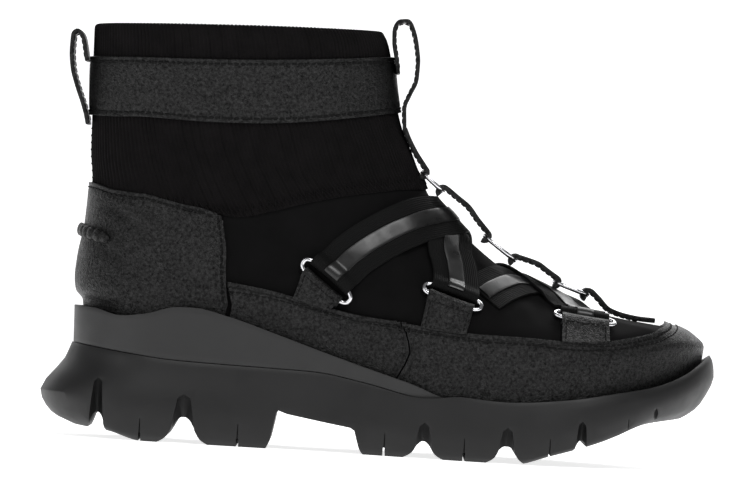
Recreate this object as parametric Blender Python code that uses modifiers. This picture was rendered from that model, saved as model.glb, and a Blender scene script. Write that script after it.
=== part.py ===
"""Slip-on ankle boot for the right foot, on a lugged sole.

A stretch upper and a knitted shaft stand in the rim of a two-part sole. Leather guards, a heel counter and a
collar band lie on them. Crossed elastic straps run over the instep between oval rings, under a leather centre
strap with three rings of its own, and a pull loop stands at the front and at the back of the collar.

X runs from heel to toe, Y to the inner side, Z up. The origin is on the ground, under the middle of the sole's
length and width. Everything is in metres: MM lets a size be written in millimetres.
"""

import math
from bisect import bisect_right

import bpy
from mathutils import Matrix, Vector

MM = 0.001

# Driving sizes of the sole
SOLE_LENGTH = 285 * MM
SOLE_WIDTH = 104 * MM
SOLE_HEIGHT = 57 * MM
BACK_ROUND = 0.135
TOE_ROUND = 0.255
HEEL_OVERHANG = 12.3 * MM
TOE_OVERHANG = 2.3 * MM
LIP = 2.4 * MM
RECESS = 2.6 * MM
TOE_TURN = 0.93
GROOVE_DEPTH = 11 * MM
FORE_GROOVE_DEPTH = 7.2 * MM
SIPE_WIDTH = 1.0 * MM
SIPE_DEPTH = 3.5 * MM
CENTRE_GROOVE = 7 * MM

# Driving sizes of the upper
UPPER_RISE = 124 * MM
UPPER_WALL = 2.2 * MM
SHAFT_WALL = 3.0 * MM
LEATHER = 1.5 * MM
INSOLE = 4 * MM
GAP = 0.3 * MM
LAY_GAP = 0.7 * MM
FOOT_CROWDING = 1.4
SIDE_CROWDING = 0.15
SEAT_GAP = 1.0 * MM

# Driving sizes of the straps, rings and loops
STRAP_WIDTH = 20.5 * MM
ELASTIC = 1.0 * MM
STRAP_GAP = 0.95 * MM
STRAP_OVER = 2 * STRAP_GAP + ELASTIC + GAP
CENTRE_WIDTH = 14 * MM
CENTRE_LEATHER = 1.8 * MM
RING_LENGTH = 25.5 * MM
RING_HEIGHT = 8.6 * MM
RING_WIRE = 2.0 * MM
CENTRE_RING_WIDTH = 18 * MM
TAB_WIDTH = 20 * MM
TAB_LEATHER = 2.4 * MM
LOOP_WIDTH = 24 * MM
LOOP_LEATHER = 1.6 * MM
WHIP_HEIGHT = 5.5 * MM
WHIP_THICKNESS = 2.2 * MM

# How far the upper's skin stands inside the sole's rim: the lip, then the guard with a gap on both sides
SKIN_INSET = LIP + LEATHER + LAY_GAP + 4 * GAP

# The sole's edge from above: share of the length, and half widths as shares of the width
PLAN = [
    # share, outer, inner
    (0.00, 0.350, 0.350),
    (0.12, 0.362, 0.358),
    (0.26, 0.360, 0.345),
    (0.37, 0.358, 0.315),
    (0.47, 0.385, 0.325),
    (0.57, 0.450, 0.400),
    (0.66, 0.492, 0.475),
    (0.72, 0.500, 0.500),
    (0.82, 0.482, 0.492),
    (0.91, 0.440, 0.455),
    (1.00, 0.390, 0.405),
]

# The line that the toe closes on, as a share of the width to the inner side
TOE_LINE = [(0.0, 0.0), (0.3, 0.0), (0.6, 0.0), (0.8, 0.03), (0.92, 0.075), (1.0, 0.09)]

# Heights of the sole along its length, as shares of the sole's height
RIM = [
    (0.000, 0.965), (0.035, 0.955), (0.075, 0.912), (0.115, 0.935), (0.165, 0.998), (0.190, 1.000),
    (0.240, 0.955), (0.312, 0.855), (0.391, 0.737), (0.463, 0.635), (0.528, 0.549), (0.595, 0.477),
    (0.682, 0.449), (0.770, 0.486), (0.864, 0.570), (0.911, 0.620), (0.956, 0.710), (1.000, 0.870),
]
PARTING = [
    (0.000, 0.690), (0.095, 0.635), (0.162, 0.605), (0.236, 0.595), (0.382, 0.580), (0.453, 0.530),
    (0.524, 0.455), (0.595, 0.370), (0.683, 0.350), (0.770, 0.370), (0.864, 0.430), (0.940, 0.490),
    (1.000, 0.520),
]
TREAD = [
    (0.000, 0.085), (0.060, 0.060), (0.118, 0.000), (0.340, 0.000), (0.480, 0.000), (0.725, 0.000),
    (0.780, 0.070), (0.870, 0.205), (0.905, 0.285), (0.940, 0.345), (1.000, 0.390),
]

# The outsole's side from the ground up: height between tread and top at the back, the sides and the toe, and
# how far it stands out from the rim's outline there
SIDE = [
    # back, side, toe heights; back, heel, waist, ball, toe offsets as shares of the overhangs
    (0.00, 0.00, 0.00, -0.20, -0.10, -0.12, -0.16, -4.60),
    (0.13, 0.10, 0.26, 0.58, 0.20, 0.05, 0.10, -1.20),
    (0.40, 0.42, 0.66, 1.00, 0.36, 0.14, 0.17, 1.00),
    (0.80, 0.80, 0.90, 0.22, 0.12, 0.06, 0.09, 0.62),
    (1.00, 1.00, 1.00, 0.00, 0.00, 0.00, 0.00, 0.00),
]

# Where the outsole's wall climbs from the parting line to the rim
WALL_RISE_START = 0.520
WALL_RISE_END = 0.620

# Grooves across the tread: share of the length, widths at the ground and at the top, depth and side flute
GROOVES = [
    # share, ground width, top width, depth, flute height as shares of the groove depths
    (0.0900, 10.5 * MM, 3.0 * MM, GROOVE_DEPTH, 1.28),
    (0.2180, 16.5 * MM, 4.0 * MM, GROOVE_DEPTH, 0.78),
    (0.5720, 12.0 * MM, 3.0 * MM, FORE_GROOVE_DEPTH, 0.66),
    (0.6940, 12.0 * MM, 4.6 * MM, FORE_GROOVE_DEPTH, 0.66),
    (0.8030, 9.5 * MM, 2.6 * MM, FORE_GROOVE_DEPTH * 1.60, 0.66),
    (0.9120, 6.0 * MM, 2.4 * MM, FORE_GROOVE_DEPTH * 2.85, 0.50),
]
FLUTE_REACH = 8 * MM
SIPES = [0.155, 0.299, 0.515, 0.632, 0.757, 0.871]

# The arch, cut from below: share of the length and height as a share of the sole's height
ARCH = [(0.3440, -0.10), (0.3540, 0.285), (0.3700, 0.262), (0.4200, 0.222), (0.4690, 0.183), (0.4830, -0.10)]

# The skin of upper and shaft from the side: share of the sole's length, and height above the heel's rim as a
# share of the upper's rise
BACK_LINE = [
    (-0.010, 0.0620), (0.012, 0.0600), (0.045, 0.0490), (0.085, 0.0470), (0.153, 0.049), (0.270, 0.057), (0.410, 0.0595),
    (0.512, 0.055), (0.634, 0.0535), (0.834, 0.050), (0.944, 0.049),
]
FRONT_LINE = [
    # share of the length, share of the rise
    (0.9755, -0.056), (0.9765, -0.034), (0.9665, -0.010), (0.952, 0.012), (0.935, 0.025), (0.896, 0.036),
    (0.851, 0.049),
    (0.796, 0.078), (0.732, 0.129), (0.682, 0.185), (0.624, 0.282), (0.588, 0.360), (0.561, 0.423),
    (0.543, 0.500), (0.529, 0.572), (0.512, 0.655), (0.500, 0.758), (0.491, 0.879), (0.484, 0.940),
    (0.474, 0.980),
]

# Sections of the skin, each a ring from the back line to the front line. Half widths are shares of the sole's
# width at heel, waist and ball, and the ends are rounded over a share of the ring's length
RINGS = [
    # level, heel, waist out, waist in, ball out, ball in, back round, front round, sag
    (0.15, 0.312, 0.325, 0.285, 0.440, 0.440, 0.150, 0.320, 0.840),
    (0.30, 0.304, 0.318, 0.298, 0.392, 0.402, 0.180, 0.410, 0.540),
    (0.45, 0.292, 0.300, 0.296, 0.336, 0.346, 0.210, 0.480, 0.350),
    (0.60, 0.290, 0.298, 0.296, 0.306, 0.310, 0.260, 0.500, 0.180),
    (0.80, 0.304, 0.310, 0.310, 0.306, 0.306, 0.360, 0.460, 0.050),
    (1.00, 0.335, 0.342, 0.342, 0.338, 0.338, 0.440, 0.440, 0.000),
]
HEEL_PLACE = 0.12
WAIST_PLACE = 0.42
BALL_PLACE = 0.72

# Edges on the skin from the side: share of the length, and share of the rise
COUNTER_TOP = [(None, 0.405), (0.128, 0.376), (0.185, 0.353), (0.233, 0.334), (0.256, 0.315)]
COUNTER_FOOT = [(None, None), (0.128, None), (0.185, None), (0.233, None), (0.268, None)]
GUARD_TOP = [
    (0.271, 0.094), (0.348, 0.067), (0.437, 0.022), (0.531, -0.004), (0.589, -0.024), (0.677, -0.041),
    (0.789, -0.046), (0.847, -0.032), (0.892, -0.008), (None, 0.030),
]
GUARD_SEAM_TOP = 0.531
GUARD_SEAM_FOOT = 0.527
SEAM_BACK = 0.33
KNIT_SEAM = [(0.260, 0.334), (0.323, 0.360), (0.378, 0.400), (0.434, 0.432), (0.490, 0.457), (0.515, 0.468)]
KNIT_SEAM_FRONT = 0.476
BAND_FOOT = (0.634, 0.702)
BAND_TOP = (0.834, 0.890)

# Oval side rings, from the heel to the toe: share of the length, share of the rise, slope in degrees
SIDE_RINGS = [(0.4170, 0.117, -37), (0.6010, 0.078, -19), (0.7980, 0.027, 2)]

# Centre rings on the instep: share of the length of each end, from the shaft to the toe
CENTRE_RINGS = [(0.5430, 0.5640), (0.6330, 0.6830), (0.7460, 0.7980)]


def smooth(rows):
    """A smooth value between the rows (place, value) of a table, with no overshoot."""
    place = [row[0] for row in rows]
    value = [row[1] for row in rows]
    step = [b - a for a, b in zip(place, place[1:])]
    rise = [(b - a) / h for a, b, h in zip(value, value[1:], step)]
    slope = [rise[0]]
    for before, after in zip(rise, rise[1:]):
        slope.append(0.0 if before * after <= 0 else 2 * before * after / (before + after))
    slope.append(rise[-1])

    def at(x):
        x = min(max(x, place[0]), place[-1])
        i = min(max(bisect_right(place, x) - 1, 0), len(step) - 1)
        t = (x - place[i]) / step[i]
        low = value[i] * (1 + 2 * t) * (1 - t) ** 2 + slope[i] * step[i] * t * (1 - t) ** 2
        high = value[i + 1] * t * t * (3 - 2 * t) + slope[i + 1] * step[i] * t * t * (t - 1)
        return low + high

    return at


def column(rows, index):
    return smooth([(row[0], row[index]) for row in rows])


def along(share):
    """X at a share of the sole's length."""
    return (share - 0.5) * SOLE_LENGTH


def share_of(x):
    """The share of the sole's length at x."""
    return x / SOLE_LENGTH + 0.5


def up(share):
    """Z at a share of the upper's rise above the heel's rim."""
    return SOLE_HEIGHT + share * UPPER_RISE


plan_outer = column(PLAN, 1)
plan_inner = column(PLAN, 2)
toe_line = smooth(TOE_LINE)
rim_share = smooth(RIM)
parting_share = smooth(PARTING)
tread_share = smooth(TREAD)

BACK_END = along(0) + HEEL_OVERHANG
TOE_END = along(1) - TOE_OVERHANG


def rounded(u, back, front):
    """How far a ring has closed at u, with round ends over the shares back and front."""
    if u < back:
        return math.sqrt(max(0.0, 1 - (1 - u / back) ** 2))
    if u > 1 - front:
        return math.sqrt(max(0.0, 1 - ((u - 1 + front) / front) ** 2))
    return 1.0


def share_at(x):
    """The share of the rim's length at x."""
    return (x - BACK_END) / (TOE_END - BACK_END)


def rim_height(x):
    return rim_share(share_at(x)) * SOLE_HEIGHT


def parting_height(x):
    return parting_share(share_at(x)) * SOLE_HEIGHT


def wall_rise(x):
    """0 where the outsole stops at the parting line, 1 where its wall reaches the rim."""
    t = min(max((share_at(x) - WALL_RISE_START) / (WALL_RISE_END - WALL_RISE_START), 0.0), 1.0)
    return t * t * (3 - 2 * t)


def wall_top(x):
    """Height of the outsole's wall."""
    return parting_height(x) + (rim_height(x) - parting_height(x)) * wall_rise(x)


def outline(u, side, offset, back_offset=None, toe_offset=None):
    """X and Y of the sole's rim at u, moved outwards. Side is -1 for the outer side, 1 for the inner one."""
    back = offset if back_offset is None else back_offset
    toe = offset if toe_offset is None else toe_offset
    x = BACK_END - back + u * (TOE_END + toe - BACK_END + back)
    half = (plan_outer if side < 0 else plan_inner)(u) * SOLE_WIDTH + offset
    middle = toe_line(u) * SOLE_WIDTH
    return x, middle + (side * half - middle) * rounded(u, BACK_ROUND, TOE_ROUND)


def line_through(points):
    """X and Z along a line, by the share of its length."""
    length = [0.0]
    for (x0, z0), (x1, z1) in zip(points, points[1:]):
        length.append(length[-1] + math.hypot(x1 - x0, z1 - z0))
    share = [part / length[-1] for part in length]
    across = smooth([(t, x) for t, (x, _) in zip(share, points)])
    height = smooth([(t, z) for t, (_, z) in zip(share, points)])
    return lambda t: (across(t), height(t))


def floor_height(x):
    """Height of the sole's floor behind its lip, level where the rim turns up round the toe."""
    return rim_share(min(share_at(x), TOE_TURN)) * SOLE_HEIGHT - RECESS


def foot_height(x):
    """Height of the skin's lower edge on the sole's floor."""
    return floor_height(x) + SEAT_GAP


BACK_FOOT = (BACK_END + SKIN_INSET, foot_height(BACK_END + SKIN_INSET))
TOE_FOOT = (TOE_END - SKIN_INSET, foot_height(TOE_END - SKIN_INSET))
back_line = line_through([BACK_FOOT] + [(along(s), up(k)) for k, s in BACK_LINE])
front_line = line_through([TOE_FOOT] + [(along(s), up(k)) for s, k in FRONT_LINE])
ring_columns = [column(RINGS, index) for index in range(1, 9)]
FIRST_LEVEL = RINGS[0][0]


def bow(u):
    """How far the skin's lower edge hangs below a straight line from back to toe."""
    foot_x = BACK_FOOT[0] + u * (TOE_FOOT[0] - BACK_FOOT[0])
    return (1 - u) * BACK_FOOT[1] + u * TOE_FOOT[1] - foot_height(foot_x)


def ease(start, end, end_slope, t):
    """From start to end, straight at first and meeting end with this slope."""
    rise = end - start
    return start + rise * (t + t * t - t * t * t) - end_slope * t * t * (1 - t)


def ring_half(u, level, side):
    """Half width of the ring at this level, how its ends are rounded, and how far it sags."""
    heel, waist_out, waist_in, ball_out, ball_in, back, front, sag = [c(level) for c in ring_columns]
    waist, ball = (waist_out, ball_out) if side < 0 else (waist_in, ball_in)
    rows = [(0, heel), (HEEL_PLACE, heel), (WAIST_PLACE, waist), (BALL_PLACE, ball), (1, ball * 0.93)]
    return smooth(rows)(u) * SOLE_WIDTH, back, front, sag


def ring_point(u, level, side):
    """A point of the skin: u runs from back to front, level from the sole to the collar."""
    back_x, back_z = back_line(level)
    front_x, front_z = front_line(level)
    x = back_x + u * (front_x - back_x)
    half, back, front, sag = ring_half(u, max(level, FIRST_LEVEL), side)
    if level < FIRST_LEVEL:
        foot_half = (plan_outer if side < 0 else plan_inner)(u) * SOLE_WIDTH - SKIN_INSET
        foot = (foot_half, BACK_ROUND, TOE_ROUND, 1.0)
        first = (half, back, front, sag)
        above = ring_half(u, FIRST_LEVEL * 1.01, side)
        half, back, front, sag = [ease(a, b, (c - b) / 0.01, level / FIRST_LEVEL) for a, b, c in zip(foot, first, above)]
    middle = toe_line(share_of(x)) * SOLE_WIDTH
    y = middle + (side * half - middle) * rounded(u, back, front)
    z = back_z + u * (front_z - back_z) - sag * bow(u)
    return Vector((x, y, z))


def skin(turn, level):
    """A point of the skin. Turn is 0 at the back, 1 at the front over the outer side, and 2 at the back again."""
    turn = turn % 2.0
    side = -1 if turn <= 1 else 1
    share = turn if turn <= 1 else 2 - turn
    return ring_point((1 - math.cos(math.pi * share)) / 2, level, side)


def skin_frame(turn, level):
    """The skin's point, its outward normal, and its directions along turn and level."""
    step = 0.002
    low = max(level - step, 0.0)
    high = min(level + step, 1.0)
    by_turn = (skin(turn + step, level) - skin(turn - step, level)) / (2 * step)
    by_level = (skin(turn, high) - skin(turn, low)) / (high - low)
    return skin(turn, level), by_turn.cross(by_level).normalized(), by_turn, by_level


def off_skin(turn, level, lift):
    point, normal, _, _ = skin_frame(turn, level)
    return point + normal * lift


def walk(turn, level, heading, distance):
    """Turn and level after walking this far over the skin, straight ahead."""
    steps = 6
    for _ in range(steps):
        _, normal, by_turn, by_level = skin_frame(turn, level)
        heading = (heading - normal * heading.dot(normal)).normalized()
        move = Matrix((by_turn, by_level, normal)).transposed().inverted() @ (heading * distance / steps)
        turn += move.x
        level = min(max(level + move.y, 0.0), 1.0)
    return turn, level


def at_level(x, level):
    """U on the ring at this level where its x is x, or None past its front."""
    back_x = back_line(level)[0]
    front_x = front_line(level)[0]
    if x >= front_x:
        return None
    return max((x - back_x) / (front_x - back_x), 0.0)


def find(x, z, side):
    """Turn and level of the skin's point that is seen at x and z from this side."""
    low, high = 0.0, 1.0
    for _ in range(40):
        level = (low + high) / 2
        u = at_level(x, level)
        if u is None or ring_point(u, level, side).z > z:
            high = level
        else:
            low = level
    u = at_level(x, low) or 0.0
    turn = math.acos(1 - 2 * min(max(u, 0.0), 1.0)) / math.pi
    return (turn if side < 0 else 2 - turn), low


def find_above(x, y, side):
    """Turn and level of the skin's point that is seen from above at x, and y off the line that the toe closes on."""
    low, high = 0.0, 1.0
    middle = toe_line(share_of(x)) * SOLE_WIDTH
    for _ in range(40):
        level = (low + high) / 2
        u = at_level(x, level)
        if u is None or abs(ring_point(u, level, side).y - middle) < y:
            high = level
        else:
            low = level
    u = at_level(x, low) or 0.0
    turn = math.acos(1 - 2 * min(max(u, 0.0), 1.0)) / math.pi
    return (turn if side < 0 else 2 - turn), low


def level_on(line, axis, value):
    """Level at which the back or front line passes this x (axis 0) or z (axis 1)."""
    rising = line(1)[axis] > line(0)[axis]
    low, high = 0.0, 1.0
    for _ in range(40):
        level = (low + high) / 2
        if (line(level)[axis] < value) == rising:
            low = level
        else:
            high = level
    return low


def edge(points):
    """Turn and level along an edge on the skin, by the share of its length."""
    length = [0.0]
    for (turn_a, level_a), (turn_b, level_b) in zip(points, points[1:]):
        length.append(length[-1] + (skin(turn_b, level_b) - skin(turn_a, level_a)).length)
    share = [part / length[-1] for part in length]
    turn = smooth([(t, p[0]) for t, p in zip(share, points)])
    level = smooth([(t, p[1]) for t, p in zip(share, points)])
    return lambda t: (turn(t), level(t))


def material(name, colour, roughness, metallic=0.0):
    made = bpy.data.materials.new(name)
    made.use_nodes = True
    shader = made.node_tree.nodes["Principled BSDF"]
    shader.inputs["Base Color"].default_value = (*colour, 1.0)
    shader.inputs["Roughness"].default_value = roughness
    shader.inputs["Metallic"].default_value = metallic
    made.diffuse_color = (*colour, 1.0)
    return made


def add_object(name, mesh, finish, collection="boot"):
    made = bpy.data.objects.new(name, mesh)
    made.data.materials.append(finish)
    bpy.data.collections[collection].objects.link(made)
    return made


def add_mesh(name, points, faces, finish, collection="boot"):
    mesh = bpy.data.meshes.new(name)
    mesh.from_pydata([tuple(point) for point in points], [], faces)
    mesh.validate()
    mesh.shade_smooth()
    mesh.set_sharp_from_angle(angle=math.radians(35))
    return add_object(name, mesh, finish, collection)


def add_wall(made, thickness, outwards):
    wall = made.modifiers.new("wall", "SOLIDIFY")
    wall.thickness = thickness
    wall.offset = 1 if outwards else -1
    wall.use_quality_normals = True
    wall.use_even_offset = True
    return made


def grid_faces(columns, rows, closed=False):
    """Faces of a grid of points stored column by column."""
    faces = []
    for i in range(columns if closed else columns - 1):
        j = (i + 1) % columns
        for r in range(rows - 1):
            faces.append((i * rows + r, j * rows + r, j * rows + r + 1, i * rows + r + 1))
    return faces


def lay_panel(name, foot, top, columns, rows, lift, thickness, finish, closed=False, outwards=True, crowd=1.0):
    """A panel on the skin between two edges, each a function from edge(). Crowd over 1 brings its rows to the foot."""
    points = []
    for i in range(columns):
        t = i / (columns if closed else columns - 1)
        foot_turn, foot_level = foot(t)
        top_turn, top_level = top(t)
        for r in range(rows):
            s = (r / (rows - 1)) ** crowd
            turn = foot_turn + (top_turn - foot_turn) * s
            level = foot_level + (top_level - foot_level) * s
            points.append(off_skin(turn, level, lift))
    panel = add_mesh(name, points, grid_faces(columns, rows, closed), finish)
    return add_wall(panel, thickness, outwards)


def lay_strap(name, path, width, lift, thickness, columns, finish, across=5):
    """A strap on the skin along a path of turn and level, with its height off the skin by the share of length."""
    route = edge(path)
    points = []
    for i in range(columns):
        t = i / (columns - 1)
        turn, level = route(t)
        _, normal, _, _ = skin_frame(turn, level)
        ahead = skin(*route(min(t + 0.01, 1.0))) - skin(*route(max(t - 0.01, 0.0)))
        sideways = normal.cross(ahead).normalized()
        for r in range(across):
            reach = width * (r / (across - 1) - 0.5)
            points.append(off_skin(*walk(turn, level, sideways * math.copysign(1, reach), abs(reach)), lift(t)))
    return add_wall(add_mesh(name, points, grid_faces(columns, across), finish), thickness, True)


def mirror_turn(place):
    turn, level = place
    return 2 - turn, level


def ring_of_outline(count, place):
    """Points all round the sole: place(u, side) gives each one, from the back over the outer side."""
    turns = [i / count for i in range(count + 1)]
    shares = [(1 - math.cos(math.pi * t)) / 2 for t in turns]
    outer = [place(u, -1) for u in shares]
    inner = [place(u, 1) for u in reversed(shares[1:-1])]
    return outer + inner


def loft(name, rings, finish):
    """A closed body through rings of equal counts, from the ground up, with its ends closed across."""
    count = len(rings[0])
    points = [point for ring in rings for point in ring]
    faces = []
    for k in range(len(rings) - 1):
        for i in range(count):
            j = (i + 1) % count
            faces.append((k * count + i, k * count + j, (k + 1) * count + j, (k + 1) * count + i))
    last = (len(rings) - 1) * count
    half = count // 2
    for i in range(half):
        a, b = i, i + 1
        c, d = (count - i - 1) % count, (count - i) % count
        low = [a, d, c, b]
        high = [last + a, last + b, last + c, last + d]
        faces.append(tuple(dict.fromkeys(low)))
        faces.append(tuple(dict.fromkeys(high)))
    return add_mesh(name, points, faces, finish)


def add_cutter(name, points, faces):
    cutter = add_mesh(name, points, faces, finishes["rubber"], "cutters")
    cutter.hide_render = True
    cutter.display_type = "WIRE"
    return cutter


def prism(name, section, y_low, y_high):
    """A cutter with this section in X and Z, given anticlockwise seen from the outer side."""
    count = len(section)
    points = [(x, y_low, z) for x, z in section] + [(x, y_high, z) for x, z in section]
    faces = [tuple(range(count)), tuple(reversed(range(count, 2 * count)))]
    for i in range(count):
        j = (i + 1) % count
        faces.append((j, i, i + count, j + count))
    return add_cutter(name, points, faces)


def cut(body, cutter):
    boolean = body.modifiers.new(cutter.name, "BOOLEAN")
    boolean.operation = "DIFFERENCE"
    boolean.solver = "EXACT"
    boolean.object = cutter


def outsole_ring(row):
    back_h, side_h, toe_h, back_o, heel_o, waist_o, ball_o, toe_o = row
    height = smooth([(0, back_h), (BACK_ROUND, side_h), (1 - TOE_ROUND, side_h), (1, toe_h)])
    spread = smooth([(0, heel_o), (HEEL_PLACE, heel_o), (WAIST_PLACE, waist_o), (BALL_PLACE, ball_o), (1, ball_o)])

    def place(u, side):
        x, y = outline(u, side, spread(u) * HEEL_OVERHANG, back_o * HEEL_OVERHANG, toe_o * TOE_OVERHANG)
        low = tread_share(u) * SOLE_HEIGHT
        return x, y, low + height(u) * (wall_top(x) - low)

    return place


def make_outsole():
    def lip_ring(inset, drop):
        def place(u, side):
            climbed = wall_rise(outline(u, side, 0)[0])
            x, y = outline(u, side, -climbed * LIP - inset)
            return x, y, wall_top(x) - drop * (wall_top(x) - parting_height(x))

        return place

    count = 36
    rings = [ring_of_outline(count, outsole_ring(row)) for row in SIDE]
    rings.append(ring_of_outline(count, lip_ring(0.2 * MM, 0.0)))
    rings.append(ring_of_outline(count, lip_ring(0.2 * MM + GAP, 1.0)))
    sole = loft("outsole", rings, finishes["rubber"])
    arch = [(along(share), height * SOLE_HEIGHT) for share, height in ARCH]
    cut(sole, prism("arch_cutter", arch[::-1], -SOLE_WIDTH, SOLE_WIDTH))
    for number, (share, ground, top, depth, flute) in enumerate(GROOVES, 1):
        x = along(share)
        base = tread_share(share) * SOLE_HEIGHT
        low = -2 * MM
        section = [(x - ground / 2, low), (x + ground / 2, low), (x + top / 2, depth), (x - top / 2, depth)]
        cut(sole, prism(f"groove_cutter_{number}", section, -SOLE_WIDTH, SOLE_WIDTH))
        for side in (-1, 1):
            edge_y = outline(share, side, 0)[1]
            tip = max(depth, base) + flute * GROOVE_DEPTH
            add_flute(sole, number, side, x, edge_y, ground * 0.36, low, depth * 0.8, tip)
    for number, share in enumerate(SIPES, 1):
        x = along(share)
        top = tread_share(share) * SOLE_HEIGHT + SIPE_DEPTH
        half = SIPE_WIDTH / 2
        section = [(x - half, -2 * MM), (x + half, -2 * MM), (x + half, top), (x - half, top)]
        cut(sole, prism(f"sipe_cutter_{number}", section, -SOLE_WIDTH, SOLE_WIDTH))
    for name, start, end in (("heel", 0.07, 0.345), ("forefoot", 0.482, 0.905)):
        low = -2 * MM
        top = tread_share((start + end) / 2) * SOLE_HEIGHT + FORE_GROOVE_DEPTH * 0.6
        section = [(along(start), low), (along(end), low), (along(end), top), (along(start), top)]
        cut(sole, prism(f"{name}_centre_cutter", section, -CENTRE_GROOVE / 2, CENTRE_GROOVE / 2))
    return sole


def add_flute(sole, number, side, x, edge_y, half, low, inner_top, tip):
    """A notch that climbs the side wall above a groove, deep at the ground and running out at its tip."""
    outside = edge_y + side * 20 * MM
    inside = edge_y - side * FLUTE_REACH
    at_tip = edge_y - side * 1.0 * MM
    points = [
        (x - half, outside, low), (x + half, outside, low), (x, outside, tip + 6 * MM),
        (x - half, inside, low), (x + half, inside, low), (x, inside, inner_top),
        (x, at_tip, tip),
    ]
    faces = [(0, 1, 2), (3, 5, 4), (0, 3, 4, 1), (1, 4, 6), (4, 5, 6), (1, 6, 2), (0, 2, 6), (0, 6, 3), (3, 6, 5)]
    if side > 0:
        faces = [tuple(reversed(face)) for face in faces]
    cut(sole, add_cutter(f"flute_cutter_{number}_{'outer' if side < 0 else 'inner'}", points, faces))


def make_midsole():
    def place_at(offset, foot, extra=0.0):
        def place(u, side):
            climbed = wall_rise(outline(u, side, -offset)[0])
            inside = climbed * LIP + 3 * GAP * min(climbed * 30, 1.0)
            x, y = outline(u, side, -max(inside, offset) - extra)
            floor = floor_height(x)
            top = rim_height(x) + (floor - rim_height(x)) * climbed
            height = {"foot": parting_height(x) + GAP, "rim": top, "floor": floor}[foot]
            return x, y, height

        return place

    count = 36
    rings = [
        ring_of_outline(count, place_at(0.0, "foot", 0.5 * MM)),
        ring_of_outline(count, place_at(0.0, "rim")),
        ring_of_outline(count, place_at(LIP, "rim", 0.1 * MM)),
        ring_of_outline(count, place_at(LIP, "floor", 0.2 * MM)),
    ]
    return loft("midsole", rings, finishes["foam"])


def make_insole():
    inset = SKIN_INSET + UPPER_WALL + 2 * GAP

    def ring(offset, height):
        def place(u, side):
            x, y = outline(u, side, -offset, toe_offset=-offset - 3 * MM)
            return x, y, floor_height(x) + height

        return ring_of_outline(28, place)

    rings = [
        ring(inset + 1.2 * MM, 2.5 * GAP),
        ring(inset + 0.6 * MM, 2.5 * GAP + 0.3 * INSOLE),
        ring(inset + 1.2 * MM, INSOLE),
        ring(inset + 5 * MM, INSOLE - 0.8 * MM),
    ]
    return loft("insole", rings, finishes["lining"])


def seam_points():
    """Turn and level round the seam where the knitted shaft meets the upper."""
    back = (0.0, level_on(back_line, 1, up(SEAM_BACK)))
    outer = [find(along(s), up(k), -1) for s, k in KNIT_SEAM]
    front = (1.0, level_on(front_line, 1, up(KNIT_SEAM_FRONT)))
    inner = [mirror_turn(place) for place in reversed(outer)]
    return [back] + outer + [front] + inner + [(2.0, back[1])]


def make_upper_and_shaft():
    seam = seam_points()
    by_turn = smooth(seam)
    gap = GAP / UPPER_RISE

    def even(t):
        """Turn at a share of the way round, with the sides' columns brought closer together."""
        return 2 * t + SIDE_CROWDING * math.sin(4 * math.pi * t) / (2 * math.pi)

    upper_top = lambda t: (even(t), by_turn(even(t)) - gap)
    shaft_foot = lambda t: (2 * t, by_turn(2 * t) + gap)
    foot = lambda t: (even(t), 0.0)
    collar = lambda t: (2 * t, 1.0)
    vamp, knit = finishes["vamp"], finishes["knit"]
    lay_panel("upper", foot, upper_top, 46, 12, 0.0, UPPER_WALL, vamp, True, False, FOOT_CROWDING)
    lay_panel("shaft", shaft_foot, collar, 36, 6, 0.0, SHAFT_WALL, knit, True, False)


def shaft_edge(shares):
    """An edge round the shaft, from its height at the back to its height at the front."""
    back = level_on(back_line, 1, up(shares[0]))
    front = level_on(front_line, 1, up(shares[1]))

    def at(t):
        turn = 2 * t
        ahead = (1 - math.cos(math.pi * turn)) / 2
        return turn, back + (front - back) * ahead

    return at


def make_collar_band():
    lay_panel("collar_band", shaft_edge(BAND_FOOT), shaft_edge(BAND_TOP), 40, 3, LAY_GAP, LEATHER, finishes["leather"], True)


def both_sides(outer):
    """The outer side's points from the front to the back, and the inner side's back to the front."""
    inner = [mirror_turn(place) for place in outer[1:]]
    wrapped = [(turn - 2, level) for turn, level in inner]
    return wrapped[::-1] + outer


def make_heel_counter():
    top = [(0.0, level_on(back_line, 1, up(COUNTER_TOP[0][1])))]
    top += [find(along(s), up(k), -1) for s, k in COUNTER_TOP[1:]]
    foot = [(0.0, 0.0)]
    foot += [find(along(s), 0.0, -1) for s, _ in COUNTER_FOOT[1:]]
    foot_edge, top_edge = edge(both_sides(foot)), edge(both_sides(top))
    leather = finishes["leather"]
    lay_panel("heel_counter", foot_edge, top_edge, 25, 10, LAY_GAP, LEATHER, leather, crowd=FOOT_CROWDING)


def make_heel_whip():
    """The padded roll across the back of the counter."""
    lift = LAY_GAP + LEATHER + LAY_GAP
    path = [(0.0, level_on(back_line, 1, up(0.240))), find(along(0.070), up(0.228), -1), find(along(0.098), up(0.214), -1)]
    strap = lay_strap("heel_whip", both_sides(path), WHIP_HEIGHT, lambda t: lift, WHIP_THICKNESS, 15, finishes["leather"], 3)
    return strap


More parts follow.
